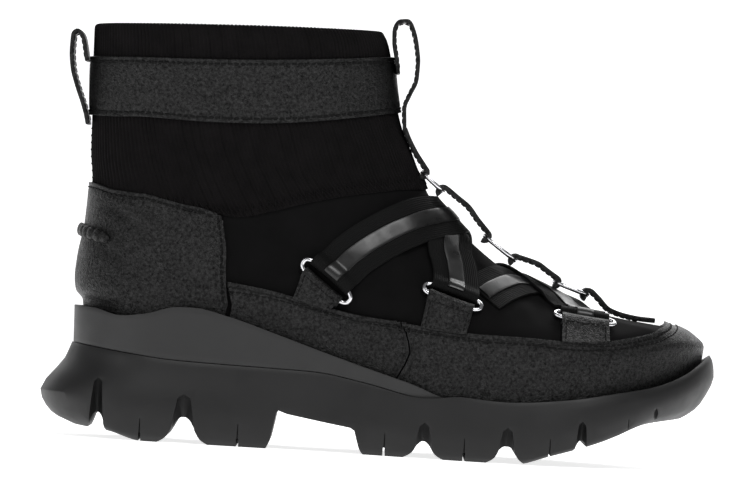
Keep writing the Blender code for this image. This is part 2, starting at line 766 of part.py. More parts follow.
def make_guards():
    top = [find(along(s), up(k), -1) for s, k in GUARD_TOP[:-1]]
    toe = (1.0, level_on(front_line, 1, up(GUARD_TOP[-1][1])))
    seam_top = find(along(GUARD_SEAM_TOP), up(GUARD_TOP[3][1]), -1)
    seam_foot = find(along(GUARD_SEAM_FOOT), 0.0, -1)
    heel_foot = find(along(0.276), 0.0, -1)
    step = (GAP + 0.05 * MM) / SOLE_LENGTH
    behind_top = [place for place in top if place[0] < seam_top[0] - 0.01] + [(seam_top[0] - step, seam_top[1])]
    behind_foot = [(heel_foot[0] + (seam_foot[0] - step - heel_foot[0]) * i / 3, 0.0) for i in range(4)]
    ahead_top = [seam_top] + [place for place in top if place[0] > seam_top[0] + 0.01] + [toe]
    ahead_foot = [(seam_foot[0] + (1.0 - seam_foot[0]) * i / 6, 0.0) for i in range(7)]
    leather = finishes["leather"]
    lay_panel("side_guard_outer", edge(behind_foot), edge(behind_top), 11, 6, LAY_GAP, LEATHER, leather)
    inner_foot = [mirror_turn(place) for place in behind_foot][::-1]
    inner_top = [mirror_turn(place) for place in behind_top][::-1]
    lay_panel("side_guard_inner", edge(inner_foot), edge(inner_top), 11, 6, LAY_GAP, LEATHER, leather)
    round_foot = ahead_foot + [mirror_turn(place) for place in ahead_foot[:-1]][::-1]
    round_top = ahead_top + [mirror_turn(place) for place in ahead_top[:-1]][::-1]
    lay_panel("toe_guard", edge(round_foot), edge(round_top), 37, 9, LAY_GAP, LEATHER, leather, crowd=FOOT_CROWDING)


def tangent_frame(turn, level, slope):
    """The skin's point and normal, and the directions along and across a slope seen from the side."""
    point, normal, _, _ = skin_frame(turn, level)
    seen = Vector((math.cos(slope), 0, math.sin(slope)))
    ahead = (seen - normal * seen.dot(normal)).normalized()
    upwards = normal.cross(ahead)
    if upwards.z < 0:
        upwards = -upwards
    return point, normal, ahead, upwards


def add_wire(name, points, radius, finish):
    curve = bpy.data.curves.new(name, "CURVE")
    curve.dimensions = "3D"
    curve.bevel_depth = radius
    curve.bevel_resolution = 1
    spline = curve.splines.new("POLY")
    spline.points.add(len(points) - 1)
    for target, point in zip(spline.points, points):
        target.co = (*point, 1.0)
    spline.use_cyclic_u = True
    return add_object(name, curve, finish)


def oval(centre, ahead, upwards, length, height, count=12):
    """Points round an oval with straight long sides."""
    points = []
    for i in range(count):
        angle = 2 * math.pi * i / count
        c, s = math.cos(angle), math.sin(angle)
        x = math.copysign(abs(c) ** 0.62, c) * length / 2
        y = math.copysign(abs(s) ** 0.75, s) * height / 2
        points.append(centre + ahead * x + upwards * y)
    return points


def make_side_rings():
    radius = RING_WIRE / 2
    for number, (s, k, slope) in enumerate(SIDE_RINGS, 1):
        for side, label in ((-1, "outer"), (1, "inner")):
            turn, level = find(along(s), up(k), side)
            point, normal, ahead, upwards = tangent_frame(turn, level, math.radians(slope))
            centre = point + normal * (radius + 4 * GAP)
            points = oval(centre, ahead, upwards, RING_LENGTH - RING_WIRE, RING_HEIGHT - RING_WIRE)
            add_wire(f"side_ring_{number}_{label}", points, radius, finishes["metal"])
            make_ring_tab(number, label, side, s, k, slope)


def make_ring_tab(number, label, side, s, k, slope):
    """The folded tab that holds a ring, from the guard's top edge up to the ring's lower bar."""
    guard = smooth([(a, b) for a, b in GUARD_TOP if a is not None])
    angle = math.radians(slope)
    down = RING_HEIGHT / 2 + GAP
    x, z = along(s), up(k)
    top = []
    foot = []
    for i in range(4):
        reach = (i / 3 - 0.5) * TAB_WIDTH
        bar_x = x + reach * math.cos(angle) + down * math.sin(angle)
        bar_z = z + reach * math.sin(angle) - down * math.cos(angle)
        foot_x = bar_x - (1.5 - 0.5 * number) * 4 * MM
        foot_z = up(guard(share_of(foot_x))) + 2 * GAP
        top.append(find(bar_x, bar_z, side))
        foot.append(find(foot_x, foot_z, side))
    if side > 0:
        top.reverse()
        foot.reverse()
    lay_panel(f"ring_tab_{number}_{label}", edge(foot), edge(top), 5, 3, LAY_GAP, TAB_LEATHER, finishes["leather"])


def above_ring(index, side, clear):
    """Turn and level this far above the upper bar of a side ring, where a strap comes down to it."""
    share, height, slope = SIDE_RINGS[index]
    turn, level = find(along(share), up(height), side)
    upwards = tangent_frame(turn, level, math.radians(slope))[3]
    return walk(turn, level, upwards, RING_HEIGHT / 2 + clear)


def make_cross_straps():
    """Each strap runs from a ring on one side over the instep to the next ring on the other."""
    base = STRAP_GAP
    over = STRAP_OVER
    rear = [(0.452, 0.205), (0.483, 0.260), (0.524, 0.313), (0.560, 0.343)]
    rear_far = [(0.592, 0.262), (0.600, 0.185)]
    rear_top = (1.0, level_on(front_line, 0, along(0.590)))
    fore_start = (along(0.662), 0.235 * SOLE_WIDTH)

    def rear_path(side):
        start = [above_ring(0, side, 11 * GAP)] + [find(along(s), up(k), side) for s, k in rear]
        end = above_ring(1, -side, 8 * GAP)
        return start + [rear_top] + [find(along(s), up(k), -side) for s, k in rear_far] + [end]

    def fore_path(side):
        last = above_ring(2, -side, 17 * GAP)
        end = skin(*last)
        reach = side * (end.y - toe_line(share_of(end.x)) * SOLE_WIDTH)
        places = []
        for i in range(8):
            x = fore_start[0] + (end.x - fore_start[0]) * i / 8
            y = fore_start[1] + (reach - fore_start[1]) * i / 8
            places.append(find_above(x, abs(y), side if y > 0 else -side))
        return places + [last]

    rear_under = smooth([(0.0, base), (0.30, base), (0.45, base + 2 * GAP), (0.65, base + 2 * GAP), (0.85, base), (1.0, base)])
    rear_over = smooth([(0.0, base), (0.22, base), (0.36, over), (0.88, over), (0.97, base), (1.0, base)])
    fore_over = smooth([(0.0, base), (0.06, base), (0.20, over), (0.74, over), (0.88, base), (1.0, base)])
    straps = [
        ("rear_strap_outer", rear_path(-1), rear_over),
        ("rear_strap_inner", rear_path(1), rear_under),
        ("fore_strap_outer", fore_path(-1), fore_over),
        ("fore_strap_inner", fore_path(1), lambda t: base),
    ]
    for name, path, lift in straps:
        lay_strap(name, path, STRAP_WIDTH, lift, ELASTIC, 22, finishes["elastic"])


def ridge(share, lift):
    """A point over the instep's centre line, this far off the skin, as x and z."""
    level = level_on(front_line, 0, along(share))
    point = off_skin(1.0, level, lift)
    return Vector((point.x, point.z))


def make_centre_rings():
    radius = RING_WIRE / 2
    for number, (start, end) in enumerate(CENTRE_RINGS, 1):
        over_straps = STRAP_OVER + ELASTIC + 2 * GAP + radius
        back = ridge(start, over_straps if number > 1 else radius + 2 * GAP)
        front = ridge(end, over_straps)
        middle = (back + front) / 2
        slope = (front - back).normalized()
        level = level_on(front_line, 0, middle.x)
        centre = Vector((middle.x, skin(1.0, level).y, middle.y))
        ahead = Vector((slope.x, 0, slope.y))
        points = oval(centre, ahead, Vector((0, 1, 0)), (front - back).length, CENTRE_RING_WIDTH - RING_WIRE)
        add_wire(f"centre_ring_{number}", points, radius, finishes["metal"])


def add_ribbon(name, path, width, thickness, finish, middle=None):
    """A strap that runs in X and Z, centred on y = 0 or on middle(x)."""
    length = [0.0]
    for a, b in zip(path, path[1:]):
        length.append(length[-1] + (Vector(b) - Vector(a)).length)
    share = [part / length[-1] for part in length]
    across = smooth([(t, p[0]) for t, p in zip(share, path)])
    height = smooth([(t, p[1]) for t, p in zip(share, path)])
    columns = 2 * len(path)
    points = []
    for i in range(columns):
        t = i / (columns - 1)
        x, z = across(t), height(t)
        y = middle(x) if middle else 0.0
        points += [(x, y + width / 2, z), (x, y - width / 2, z)]
    ribbon = add_mesh(name, points, grid_faces(columns, 2), finish)
    wall = ribbon.modifiers.new("wall", "SOLIDIFY")
    wall.thickness = thickness
    wall.offset = 0
    return ribbon


def make_centre_straps():
    """Four lengths of leather down the instep, between the front loop, the rings and the toe guard."""
    half = CENTRE_LEATHER / 2
    low = GAP + half
    high = STRAP_OVER + ELASTIC + 2 * GAP + half
    runs = [
        [(0.5150, low), (0.5250, low), (0.5350, low), (0.5405, low)],
        [(0.5705, high), (0.5780, high + GAP), (0.5930, high + GAP), (0.6100, high + GAP), (0.6275, high)],
        [(0.6885, high), (0.6960, high + GAP), (0.7150, high + GAP), (0.7300, high + GAP), (0.7400, high)],
        [(0.8040, high), (0.8250, low + ELASTIC), (0.8500, low + GAP), (0.8800, low + GAP), (0.9000, low + GAP)],
    ]
    middle = lambda x: skin(1.0, level_on(front_line, 0, x)).y
    for number, run in enumerate(runs, 1):
        path = [tuple(ridge(share, lift)) for share, lift in run]
        add_ribbon(f"centre_strap_{number}", path, CENTRE_WIDTH, CENTRE_LEATHER, finishes["leather"], middle)


def collar_path(line, rows, outwards):
    """A loop's path from rows of height share and distance out from the skin's back or front line."""
    path = []
    for k, out in rows:
        level = level_on(line, 1, up(k))
        path.append((line(level)[0] + outwards * out, up(k)))
    return path


def make_pull_loops():
    on_band = LAY_GAP + LEATHER + 2 * GAP + LOOP_LEATHER / 2
    on_knit = GAP + LOOP_LEATHER / 2
    heel = [
        (0.815, on_band), (0.865, on_band + 1.0 * MM), (0.905, on_band + 2.4 * MM), (0.918, on_band + 4.4 * MM),
        (0.905, on_band + 6.2 * MM), (0.850, on_band + 6.6 * MM), (0.790, on_band + 6.0 * MM),
        (0.730, on_band + 4.0 * MM), (0.670, on_band + 1.4 * MM), (0.632, on_band), (0.600, on_knit + 0.6 * MM),
    ]
    add_ribbon("heel_pull_loop", collar_path(back_line, heel, -1), LOOP_WIDTH, LOOP_LEATHER, finishes["leather"])
    front = [
        (0.835, on_band), (0.895, on_band), (0.945, on_band + 0.6 * MM), (0.980, on_band + 3.0 * MM),
    ]
    path = collar_path(front_line, front, 1)
    top_x, top_z = path[-1]
    path += [
        (top_x + 2.0 * MM, top_z + 4.2 * MM), (top_x + 5.4 * MM, top_z + 4.6 * MM), (top_x + 8.2 * MM, top_z + 0.6 * MM),
        (top_x + 10.0 * MM, top_z - 6.0 * MM),
    ]
    down = [
        (0.875, on_band + 9.0 * MM), (0.820, on_band + 7.6 * MM), (0.770, on_band + 4.2 * MM),
        (0.720, on_band + 0.8 * MM), (0.680, on_knit + 1.2 * MM), (0.650, on_knit + 0.2 * MM),
    ]
    path += collar_path(front_line, down, 1)
    add_ribbon("front_pull_loop", path, LOOP_WIDTH, LOOP_LEATHER, finishes["leather"])


for old in list(bpy.data.objects):
    bpy.data.objects.remove(old, do_unlink=True)
for title in ("boot", "cutters"):
    bpy.context.scene.collection.children.link(bpy.data.collections.new(title))
bpy.data.collections["cutters"].hide_render = True

finishes = {
    "rubber": material("outsole_rubber", (0.020, 0.020, 0.022), 0.55),
    "foam": material("midsole_foam", (0.024, 0.024, 0.026), 0.60),
    "lining": material("insole_lining", (0.020, 0.019, 0.021), 0.90),
    "vamp": material("stretch_vamp", (0.010, 0.010, 0.011), 0.92),
    "knit": material("shaft_knit", (0.013, 0.012, 0.013), 0.92),
    "leather": material("black_leather", (0.018, 0.018, 0.019), 0.45),
    "elastic": material("black_elastic", (0.016, 0.016, 0.018), 0.70),
    "metal": material("dark_metal", (0.35, 0.35, 0.37), 0.28, 1.0),
}

make_outsole()
make_midsole()
make_insole()
make_upper_and_shaft()
make_collar_band()
make_heel_counter()
make_heel_whip()
make_guards()
make_side_rings()
make_cross_straps()
make_centre_rings()
make_centre_straps()
make_pull_loops()
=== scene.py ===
"""Looks of a slip-on ankle boot for the right foot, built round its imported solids.

The soft and moulded pieces are modelled again here over the same last shape that their solids follow, finer and
with their seams, stitches, folds and grain. X runs from heel to toe, Y to the inner side and Z up, in metres.
"""

import math

import bpy
import numpy as np
from bpy.props import FloatProperty, FloatVectorProperty, IntProperty, PointerProperty
from mathutils import Matrix, Vector


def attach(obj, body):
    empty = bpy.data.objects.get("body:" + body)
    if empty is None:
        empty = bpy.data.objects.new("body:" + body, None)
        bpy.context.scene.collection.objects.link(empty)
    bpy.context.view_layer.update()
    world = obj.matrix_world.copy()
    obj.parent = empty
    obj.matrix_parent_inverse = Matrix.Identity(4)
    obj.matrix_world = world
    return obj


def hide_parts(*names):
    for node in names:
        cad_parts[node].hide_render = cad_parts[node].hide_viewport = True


bl_info = {
    "name": "Slip-on ankle boot",
    "version": (1, 0, 0),
    "blender": (4, 5, 0),
    "location": "3D View > Sidebar > Boot",
    "description": "Models the pieces and finishes of a slip-on ankle boot round its packed solids",
    "category": "Object",
}

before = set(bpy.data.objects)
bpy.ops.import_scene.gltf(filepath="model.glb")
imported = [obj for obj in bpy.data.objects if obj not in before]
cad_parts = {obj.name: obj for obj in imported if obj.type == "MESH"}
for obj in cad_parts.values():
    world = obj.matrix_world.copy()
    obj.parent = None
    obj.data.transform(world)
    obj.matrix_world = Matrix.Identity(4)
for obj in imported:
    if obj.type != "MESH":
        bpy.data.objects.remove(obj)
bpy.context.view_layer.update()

MM = 0.001
# Driving sizes of the sole
SOLE_LENGTH = 285 * MM
SOLE_WIDTH = 104 * MM
SOLE_HEIGHT = 57 * MM
BACK_ROUND = 0.135
TOE_ROUND = 0.255
HEEL_OVERHANG = 12.3 * MM
TOE_OVERHANG = 2.3 * MM
LIP = 2.4 * MM
RECESS = 2.6 * MM
TOE_TURN = 0.93
GROOVE_DEPTH = 11 * MM
FORE_GROOVE_DEPTH = 7.2 * MM
SIPE_WIDTH = 1.0 * MM
SIPE_DEPTH = 3.5 * MM
CENTRE_GROOVE = 7 * MM

# Driving sizes of the upper
UPPER_RISE = 124 * MM
UPPER_WALL = 2.2 * MM
SHAFT_WALL = 3.0 * MM
LEATHER = 1.5 * MM
INSOLE = 4 * MM
GAP = 0.3 * MM
LAY_GAP = 0.7 * MM
FOOT_CROWDING = 1.4
SIDE_CROWDING = 0.15
SEAT_GAP = 1.0 * MM

# Driving sizes of the straps, rings and loops
STRAP_WIDTH = 20.5 * MM
ELASTIC = 1.0 * MM
STRAP_GAP = 0.95 * MM
STRAP_OVER = 2 * STRAP_GAP + ELASTIC + GAP
CENTRE_WIDTH = 14 * MM
CENTRE_LEATHER = 1.8 * MM
RING_LENGTH = 25.5 * MM
RING_HEIGHT = 8.6 * MM
RING_WIRE = 2.0 * MM
CENTRE_RING_WIDTH = 18 * MM
TAB_WIDTH = 20 * MM
TAB_LEATHER = 2.4 * MM
LOOP_WIDTH = 24 * MM
LOOP_LEATHER = 1.6 * MM
WHIP_HEIGHT = 5.5 * MM
WHIP_THICKNESS = 2.2 * MM

# How far the upper's skin stands inside the sole's rim: the lip, then the guard with a gap on both sides
SKIN_INSET = LIP + LEATHER + LAY_GAP + 4 * GAP

# The sole's edge from above: share of the length, and half widths as shares of the width
PLAN = [
    # share, outer, inner
    (0.00, 0.350, 0.350),
    (0.12, 0.362, 0.358),
    (0.26, 0.360, 0.345),
    (0.37, 0.358, 0.315),
    (0.47, 0.385, 0.325),
    (0.57, 0.450, 0.400),
    (0.66, 0.492, 0.475),
    (0.72, 0.500, 0.500),
    (0.82, 0.482, 0.492),
    (0.91, 0.440, 0.455),
    (1.00, 0.390, 0.405),
]

# The line that the toe closes on, as a share of the width to the inner side
TOE_LINE = [(0.0, 0.0), (0.3, 0.0), (0.6, 0.0), (0.8, 0.03), (0.92, 0.075), (1.0, 0.09)]

# Heights of the sole along its length, as shares of the sole's height
RIM = [
    (0.000, 0.965), (0.035, 0.955), (0.075, 0.912), (0.115, 0.935), (0.165, 0.998), (0.190, 1.000),
    (0.240, 0.955), (0.312, 0.855), (0.391, 0.737), (0.463, 0.635), (0.528, 0.549), (0.595, 0.477),
    (0.682, 0.449), (0.770, 0.486), (0.864, 0.570), (0.911, 0.620), (0.956, 0.710), (1.000, 0.870),
]
PARTING = [
    (0.000, 0.690), (0.095, 0.635), (0.162, 0.605), (0.236, 0.595), (0.382, 0.580), (0.453, 0.530),
    (0.524, 0.455), (0.595, 0.370), (0.683, 0.350), (0.770, 0.370), (0.864, 0.430), (0.940, 0.490),
    (1.000, 0.520),
]
TREAD = [
    (0.000, 0.085), (0.060, 0.060), (0.118, 0.000), (0.340, 0.000), (0.480, 0.000), (0.725, 0.000),
    (0.780, 0.070), (0.870, 0.205), (0.905, 0.285), (0.940, 0.345), (1.000, 0.390),
]

# The outsole's side from the ground up: height between tread and top at the back, the sides and the toe, and
# how far it stands out from the rim's outline there
SIDE = [
    # back, side, toe heights; back, heel, waist, ball, toe offsets as shares of the overhangs
    (0.00, 0.00, 0.00, -0.20, -0.10, -0.12, -0.16, -4.60),
    (0.13, 0.10, 0.26, 0.58, 0.20, 0.05, 0.10, -1.20),
    (0.40, 0.42, 0.66, 1.00, 0.36, 0.14, 0.17, 1.00),
    (0.80, 0.80, 0.90, 0.22, 0.12, 0.06, 0.09, 0.62),
    (1.00, 1.00, 1.00, 0.00, 0.00, 0.00, 0.00, 0.00),
]

# Where the outsole's wall climbs from the parting line to the rim
WALL_RISE_START = 0.520
WALL_RISE_END = 0.620

# Grooves across the tread: share of the length, widths at the ground and at the top, depth and side flute
GROOVES = [
    # share, ground width, top width, depth, flute height as shares of the groove depths
    (0.0900, 10.5 * MM, 3.0 * MM, GROOVE_DEPTH, 1.28),
    (0.2180, 16.5 * MM, 4.0 * MM, GROOVE_DEPTH, 0.78),
    (0.5720, 12.0 * MM, 3.0 * MM, FORE_GROOVE_DEPTH, 0.66),
    (0.6940, 12.0 * MM, 4.6 * MM, FORE_GROOVE_DEPTH, 0.66),
    (0.8030, 9.5 * MM, 2.6 * MM, FORE_GROOVE_DEPTH * 1.60, 0.66),
    (0.9120, 6.0 * MM, 2.4 * MM, FORE_GROOVE_DEPTH * 2.85, 0.50),
]
FLUTE_REACH = 8 * MM
SIPES = [0.155, 0.299, 0.515, 0.632, 0.757, 0.871]

# The arch, cut from below: share of the length and height as a share of the sole's height
ARCH = [(0.3440, -0.10), (0.3540, 0.285), (0.3700, 0.262), (0.4200, 0.222), (0.4690, 0.183), (0.4830, -0.10)]

# The skin of upper and shaft from the side: share of the sole's length, and height above the heel's rim as a
# share of the upper's rise
BACK_LINE = [
    (-0.010, 0.0620), (0.012, 0.0600), (0.045, 0.0490), (0.085, 0.0470), (0.153, 0.049), (0.270, 0.057), (0.410, 0.0595),
    (0.512, 0.055), (0.634, 0.0535), (0.834, 0.050), (0.944, 0.049),
]
FRONT_LINE = [
    # share of the length, share of the rise
    (0.9755, -0.056), (0.9765, -0.034), (0.9665, -0.010), (0.952, 0.012), (0.935, 0.025), (0.896, 0.036),
    (0.851, 0.049),
    (0.796, 0.078), (0.732, 0.129), (0.682, 0.185), (0.624, 0.282), (0.588, 0.360), (0.561, 0.423),
    (0.543, 0.500), (0.529, 0.572), (0.512, 0.655), (0.500, 0.758), (0.491, 0.879), (0.484, 0.940),
    (0.474, 0.980),
]

# Sections of the skin, each a ring from the back line to the front line. Half widths are shares of the sole's
# width at heel, waist and ball, and the ends are rounded over a share of the ring's length
RINGS = [
    # level, heel, waist out, waist in, ball out, ball in, back round, front round, sag
    (0.15, 0.312, 0.325, 0.285, 0.440, 0.440, 0.150, 0.320, 0.840),
    (0.30, 0.304, 0.318, 0.298, 0.392, 0.402, 0.180, 0.410, 0.540),
    (0.45, 0.292, 0.300, 0.296, 0.336, 0.346, 0.210, 0.480, 0.350),
    (0.60, 0.290, 0.298, 0.296, 0.306, 0.310, 0.260, 0.500, 0.180),
    (0.80, 0.304, 0.310, 0.310, 0.306, 0.306, 0.360, 0.460, 0.050),
    (1.00, 0.335, 0.342, 0.342, 0.338, 0.338, 0.440, 0.440, 0.000),
]
HEEL_PLACE = 0.12
WAIST_PLACE = 0.42
BALL_PLACE = 0.72

# Edges on the skin from the side: share of the length, and share of the rise
COUNTER_TOP = [(None, 0.405), (0.128, 0.376), (0.185, 0.353), (0.233, 0.334), (0.256, 0.315)]
COUNTER_FOOT = [(None, None), (0.128, None), (0.185, None), (0.233, None), (0.268, None)]
GUARD_TOP = [
    (0.271, 0.094), (0.348, 0.067), (0.437, 0.022), (0.531, -0.004), (0.589, -0.024), (0.677, -0.041),
    (0.789, -0.046), (0.847, -0.032), (0.892, -0.008), (None, 0.030),
]
GUARD_SEAM_TOP = 0.531
GUARD_SEAM_FOOT = 0.527
SEAM_BACK = 0.33
KNIT_SEAM = [(0.260, 0.334), (0.323, 0.360), (0.378, 0.400), (0.434, 0.432), (0.490, 0.457), (0.515, 0.468)]
KNIT_SEAM_FRONT = 0.476
BAND_FOOT = (0.634, 0.702)
BAND_TOP = (0.834, 0.890)

# Oval side rings, from the heel to the toe: share of the length, share of the rise, slope in degrees
SIDE_RINGS = [(0.4170, 0.117, -37), (0.6010, 0.078, -19), (0.7980, 0.027, 2)]

# Centre rings on the instep: share of the length of each end, from the shaft to the toe
CENTRE_RINGS = [(0.5430, 0.5640), (0.6330, 0.6830), (0.7460, 0.7980)]


def curve_at(place, value, x):
    """A smooth value at x between rows of place and value, with no overshoot. Value may hold an array in each row."""
    place = np.asarray(place, float)
    value = np.asarray(value, float)
    x = np.clip(np.asarray(x, float), place[0], place[-1])
    step = np.diff(place)
    rise = np.diff(value, axis=0) / step.reshape(-1, *[1] * (value.ndim - 1))
    total = rise[:-1] + rise[1:]
    inner = np.where(rise[:-1] * rise[1:] > 0, 2 * rise[:-1] * rise[1:] / np.where(total == 0, 1, total), 0)
    slope = np.concatenate([rise[:1], inner, rise[-1:]])
    i = np.clip(np.searchsorted(place, x, side="right") - 1, 0, len(step) - 1)
    t = (x - place[i]) / step[i]
    if value.ndim == 1:
        v0, v1, m0, m1 = value[i], value[i + 1], slope[i], slope[i + 1]
    else:
        v0, v1, m0, m1 = [np.take_along_axis(a, k[None], 0)[0] for a, k in ((value, i), (value, i + 1), (slope, i), (slope, i + 1))]
    low = v0 * (1 + 2 * t) * (1 - t) ** 2 + m0 * step[i] * t * (1 - t) ** 2
    return low + v1 * t * t * (3 - 2 * t) + m1 * step[i] * t * t * (t - 1)


def smooth(rows):
    """A smooth value between the rows (place, value) of a table."""
    place = [row[0] for row in rows]
    value = [row[1] for row in rows]
    return lambda x: curve_at(place, value, x)


def column(rows, index):
    return smooth([(row[0], row[index]) for row in rows])


def along(share):
    """X at a share of the sole's length."""
    return (share - 0.5) * SOLE_LENGTH


def share_of(x):
    """The share of the sole's length at x."""
    return x / SOLE_LENGTH + 0.5


def up(share):
    """Z at a share of the upper's rise above the heel's rim."""
    return SOLE_HEIGHT + share * UPPER_RISE


plan_outer = column(PLAN, 1)
plan_inner = column(PLAN, 2)
toe_line = smooth(TOE_LINE)
rim_share = smooth(RIM)
parting_share = smooth(PARTING)
tread_share = smooth(TREAD)

BACK_END = along(0) + HEEL_OVERHANG
TOE_END = along(1) - TOE_OVERHANG


def rounded(u, back, front):
    """How far a ring has closed at u, with round ends over the shares back and front."""
    at_back = np.sqrt(np.maximum(0.0, 1 - (1 - u / back) ** 2))
    at_front = np.sqrt(np.maximum(0.0, 1 - ((u - 1 + front) / front) ** 2))
    return np.where(u < back, at_back, np.where(u > 1 - front, at_front, 1.0))


def share_at(x):
    """The share of the rim's length at x."""
    return (x - BACK_END) / (TOE_END - BACK_END)


def rim_height(x):
    return rim_share(share_at(x)) * SOLE_HEIGHT


def parting_height(x):
    return parting_share(share_at(x)) * SOLE_HEIGHT


def wall_rise(x):
    """0 where the outsole stops at the parting line, 1 where its wall reaches the rim."""
    t = np.clip((share_at(x) - WALL_RISE_START) / (WALL_RISE_END - WALL_RISE_START), 0, 1)
    return t * t * (3 - 2 * t)


def wall_top(x):
    """Height of the outsole's wall."""
    return parting_height(x) + (rim_height(x) - parting_height(x)) * wall_rise(x)


def outline(u, side, offset, back_offset=None, toe_offset=None):
    """X and Y of the sole's rim at u, moved outwards. Side is -1 for the outer side, 1 for the inner one."""
    back = offset if back_offset is None else back_offset
    toe = offset if toe_offset is None else toe_offset
    x = BACK_END - back + u * (TOE_END + toe - BACK_END + back)
    half = (plan_outer if side < 0 else plan_inner)(u) * SOLE_WIDTH + offset
    middle = toe_line(u) * SOLE_WIDTH
    return x, middle + (side * half - middle) * rounded(u, BACK_ROUND, TOE_ROUND)


def line_through(points):
    """X and Z along a line, by the share of its length."""
    points = np.array(points, float)
    share = lengths(points)
    share = share / share[-1]
    return lambda t: (curve_at(share, points[:, 0], t), curve_at(share, points[:, 1], t))


def lengths(points):
    """Length of a line up to each of its points."""
    return np.concatenate([[0.0], np.cumsum(np.linalg.norm(np.diff(points, axis=0), axis=-1))])


def floor_height(x):
    """Height of the sole's floor behind its lip, level where the rim turns up round the toe."""
    return rim_share(np.minimum(share_at(x), TOE_TURN)) * SOLE_HEIGHT - RECESS


def foot_height(x):
    """Height of the skin's lower edge on the sole's floor."""
    return floor_height(x) + SEAT_GAP


BACK_FOOT = (BACK_END + SKIN_INSET, float(foot_height(BACK_END + SKIN_INSET)))
TOE_FOOT = (TOE_END - SKIN_INSET, float(foot_height(TOE_END - SKIN_INSET)))
back_line = line_through([BACK_FOOT] + [(along(s), up(k)) for k, s in BACK_LINE])
front_line = line_through([TOE_FOOT] + [(along(s), up(k)) for s, k in FRONT_LINE])
ring_columns = [column(RINGS, index) for index in range(1, 9)]
FIRST_LEVEL = RINGS[0][0]


def bow(u):
    """How far the skin's lower edge hangs below a straight line from back to toe."""
    foot_x = BACK_FOOT[0] + u * (TOE_FOOT[0] - BACK_FOOT[0])
    return (1 - u) * BACK_FOOT[1] + u * TOE_FOOT[1] - foot_height(foot_x)


def ease(start, end, end_slope, t):
    """From start to end, straight at first and meeting end with this slope."""
    rise = end - start
    return start + rise * (t + t * t - t * t * t) - end_slope * t * t * (1 - t)


def ring_half(u, level, outer):
    """Half width of the ring at this level, how its ends are rounded, and how far it sags."""
    heel, waist_out, waist_in, ball_out, ball_in, back, front, sag = [c(level) for c in ring_columns]
    waist = np.where(outer, waist_out, waist_in)
    ball = np.where(outer, ball_out, ball_in)
    rows = np.stack([heel + 0 * waist, heel + 0 * waist, waist, ball, ball * 0.93])
    return curve_at([0, HEEL_PLACE, WAIST_PLACE, BALL_PLACE, 1], rows, u) * SOLE_WIDTH, back, front, sag


def ring_point(u, level, outer):
    """Points of the skin: u runs from back to front, level from the sole to the collar."""
    u, level, outer = np.broadcast_arrays(np.asarray(u, float), np.asarray(level, float), outer)
    back_x, back_z = back_line(level)
    front_x, front_z = front_line(level)
    x = back_x + u * (front_x - back_x)
    first = ring_half(u, np.maximum(level, FIRST_LEVEL), outer)
    above = ring_half(u, np.full_like(level, FIRST_LEVEL * 1.01), outer)
    foot_half = np.where(outer, plan_outer(u), plan_inner(u)) * SOLE_WIDTH - SKIN_INSET
    low = level < FIRST_LEVEL
    t = np.minimum(level / FIRST_LEVEL, 1)
    foot = (foot_half, BACK_ROUND, TOE_ROUND, 1.0)
    half, back, front, sag = [np.where(low, ease(a, b, (c - b) / 0.01, t), b) for a, b, c in zip(foot, first, above)]
    middle = toe_line(share_of(x)) * SOLE_WIDTH
    y = middle + (np.where(outer, -1, 1) * half - middle) * rounded(u, back, front)
    z = back_z + u * (front_z - back_z) - sag * bow(u)
    return np.stack([x, y, z], axis=-1)


def skin(turn, level):
    """Points of the skin. Turn is 0 at the back, 1 at the front over the outer side, and 2 at the back again."""
    turn = np.mod(turn, 2.0)
    share = np.where(turn <= 1, turn, 2 - turn)
    return ring_point((1 - np.cos(math.pi * share)) / 2, level, turn <= 1)


def unit(vectors):
    return vectors / np.maximum(np.linalg.norm(vectors, axis=-1, keepdims=True), 1e-12)


def skin_frame(turn, level):
    """The skin's points, outward normals, and directions along turn and level."""
    turn, level = np.broadcast_arrays(np.asarray(turn, float), np.asarray(level, float))
    step = 0.002
    low = np.maximum(level - step, 0.0)
    high = np.minimum(level + step, 1.0)
    by_turn = (skin(turn + step, level) - skin(turn - step, level)) / (2 * step)
    by_level = (skin(turn, high) - skin(turn, low)) / (high - low)[..., None]
    return skin(turn, level), unit(np.cross(by_turn, by_level)), by_turn, by_level


def off_skin(turn, level, lift):
    point, normal, _, _ = skin_frame(turn, level)
    return point + normal * np.broadcast_to(lift, point.shape[:-1])[..., None]


def dot(a, b):
    return (a * b).sum(axis=-1)


def walk(turn, level, heading, distance, steps=6):
    """Turn and level after walking this far over the skin, straight ahead."""
    turn, level, distance = np.broadcast_arrays(np.asarray(turn, float), np.asarray(level, float), distance)
    heading = np.broadcast_to(np.asarray(heading, float), (*turn.shape, 3))
    for _ in range(steps):
        _, normal, a, b = skin_frame(turn, level)
        heading = unit(heading - normal * dot(heading, normal)[..., None])
        move = heading * (distance / steps)[..., None]
        aa, ab, bb, ma, mb = dot(a, a), dot(a, b), dot(b, b), dot(move, a), dot(move, b)
        under = aa * bb - ab * ab
        turn = turn + (ma * bb - mb * ab) / under
        level = np.clip(level + (mb * aa - ma * ab) / under, 0, 1)
    return turn, level


def seek(x, side, is_high):
    """Turn and level at x on this side, where is_high turns true going up."""
    low, high = 0.0, 1.0
    for _ in range(40):
        level = (low + high) / 2
        back_x, front_x = float(back_line(level)[0]), float(front_line(level)[0])
        if x >= front_x or is_high(ring_point(max((x - back_x) / (front_x - back_x), 0), level, side < 0)):
            high = level
        else:
            low = level
    back_x, front_x = float(back_line(low)[0]), float(front_line(low)[0])
    u = min(max((x - back_x) / (front_x - back_x), 0.0), 1.0)
    turn = math.acos(1 - 2 * u) / math.pi
    return (turn if side < 0 else 2 - turn), low


def find(x, z, side):
    """Turn and level of the skin's point that is seen at x and z from this side."""
    return seek(x, side, lambda point: point[2] > z)


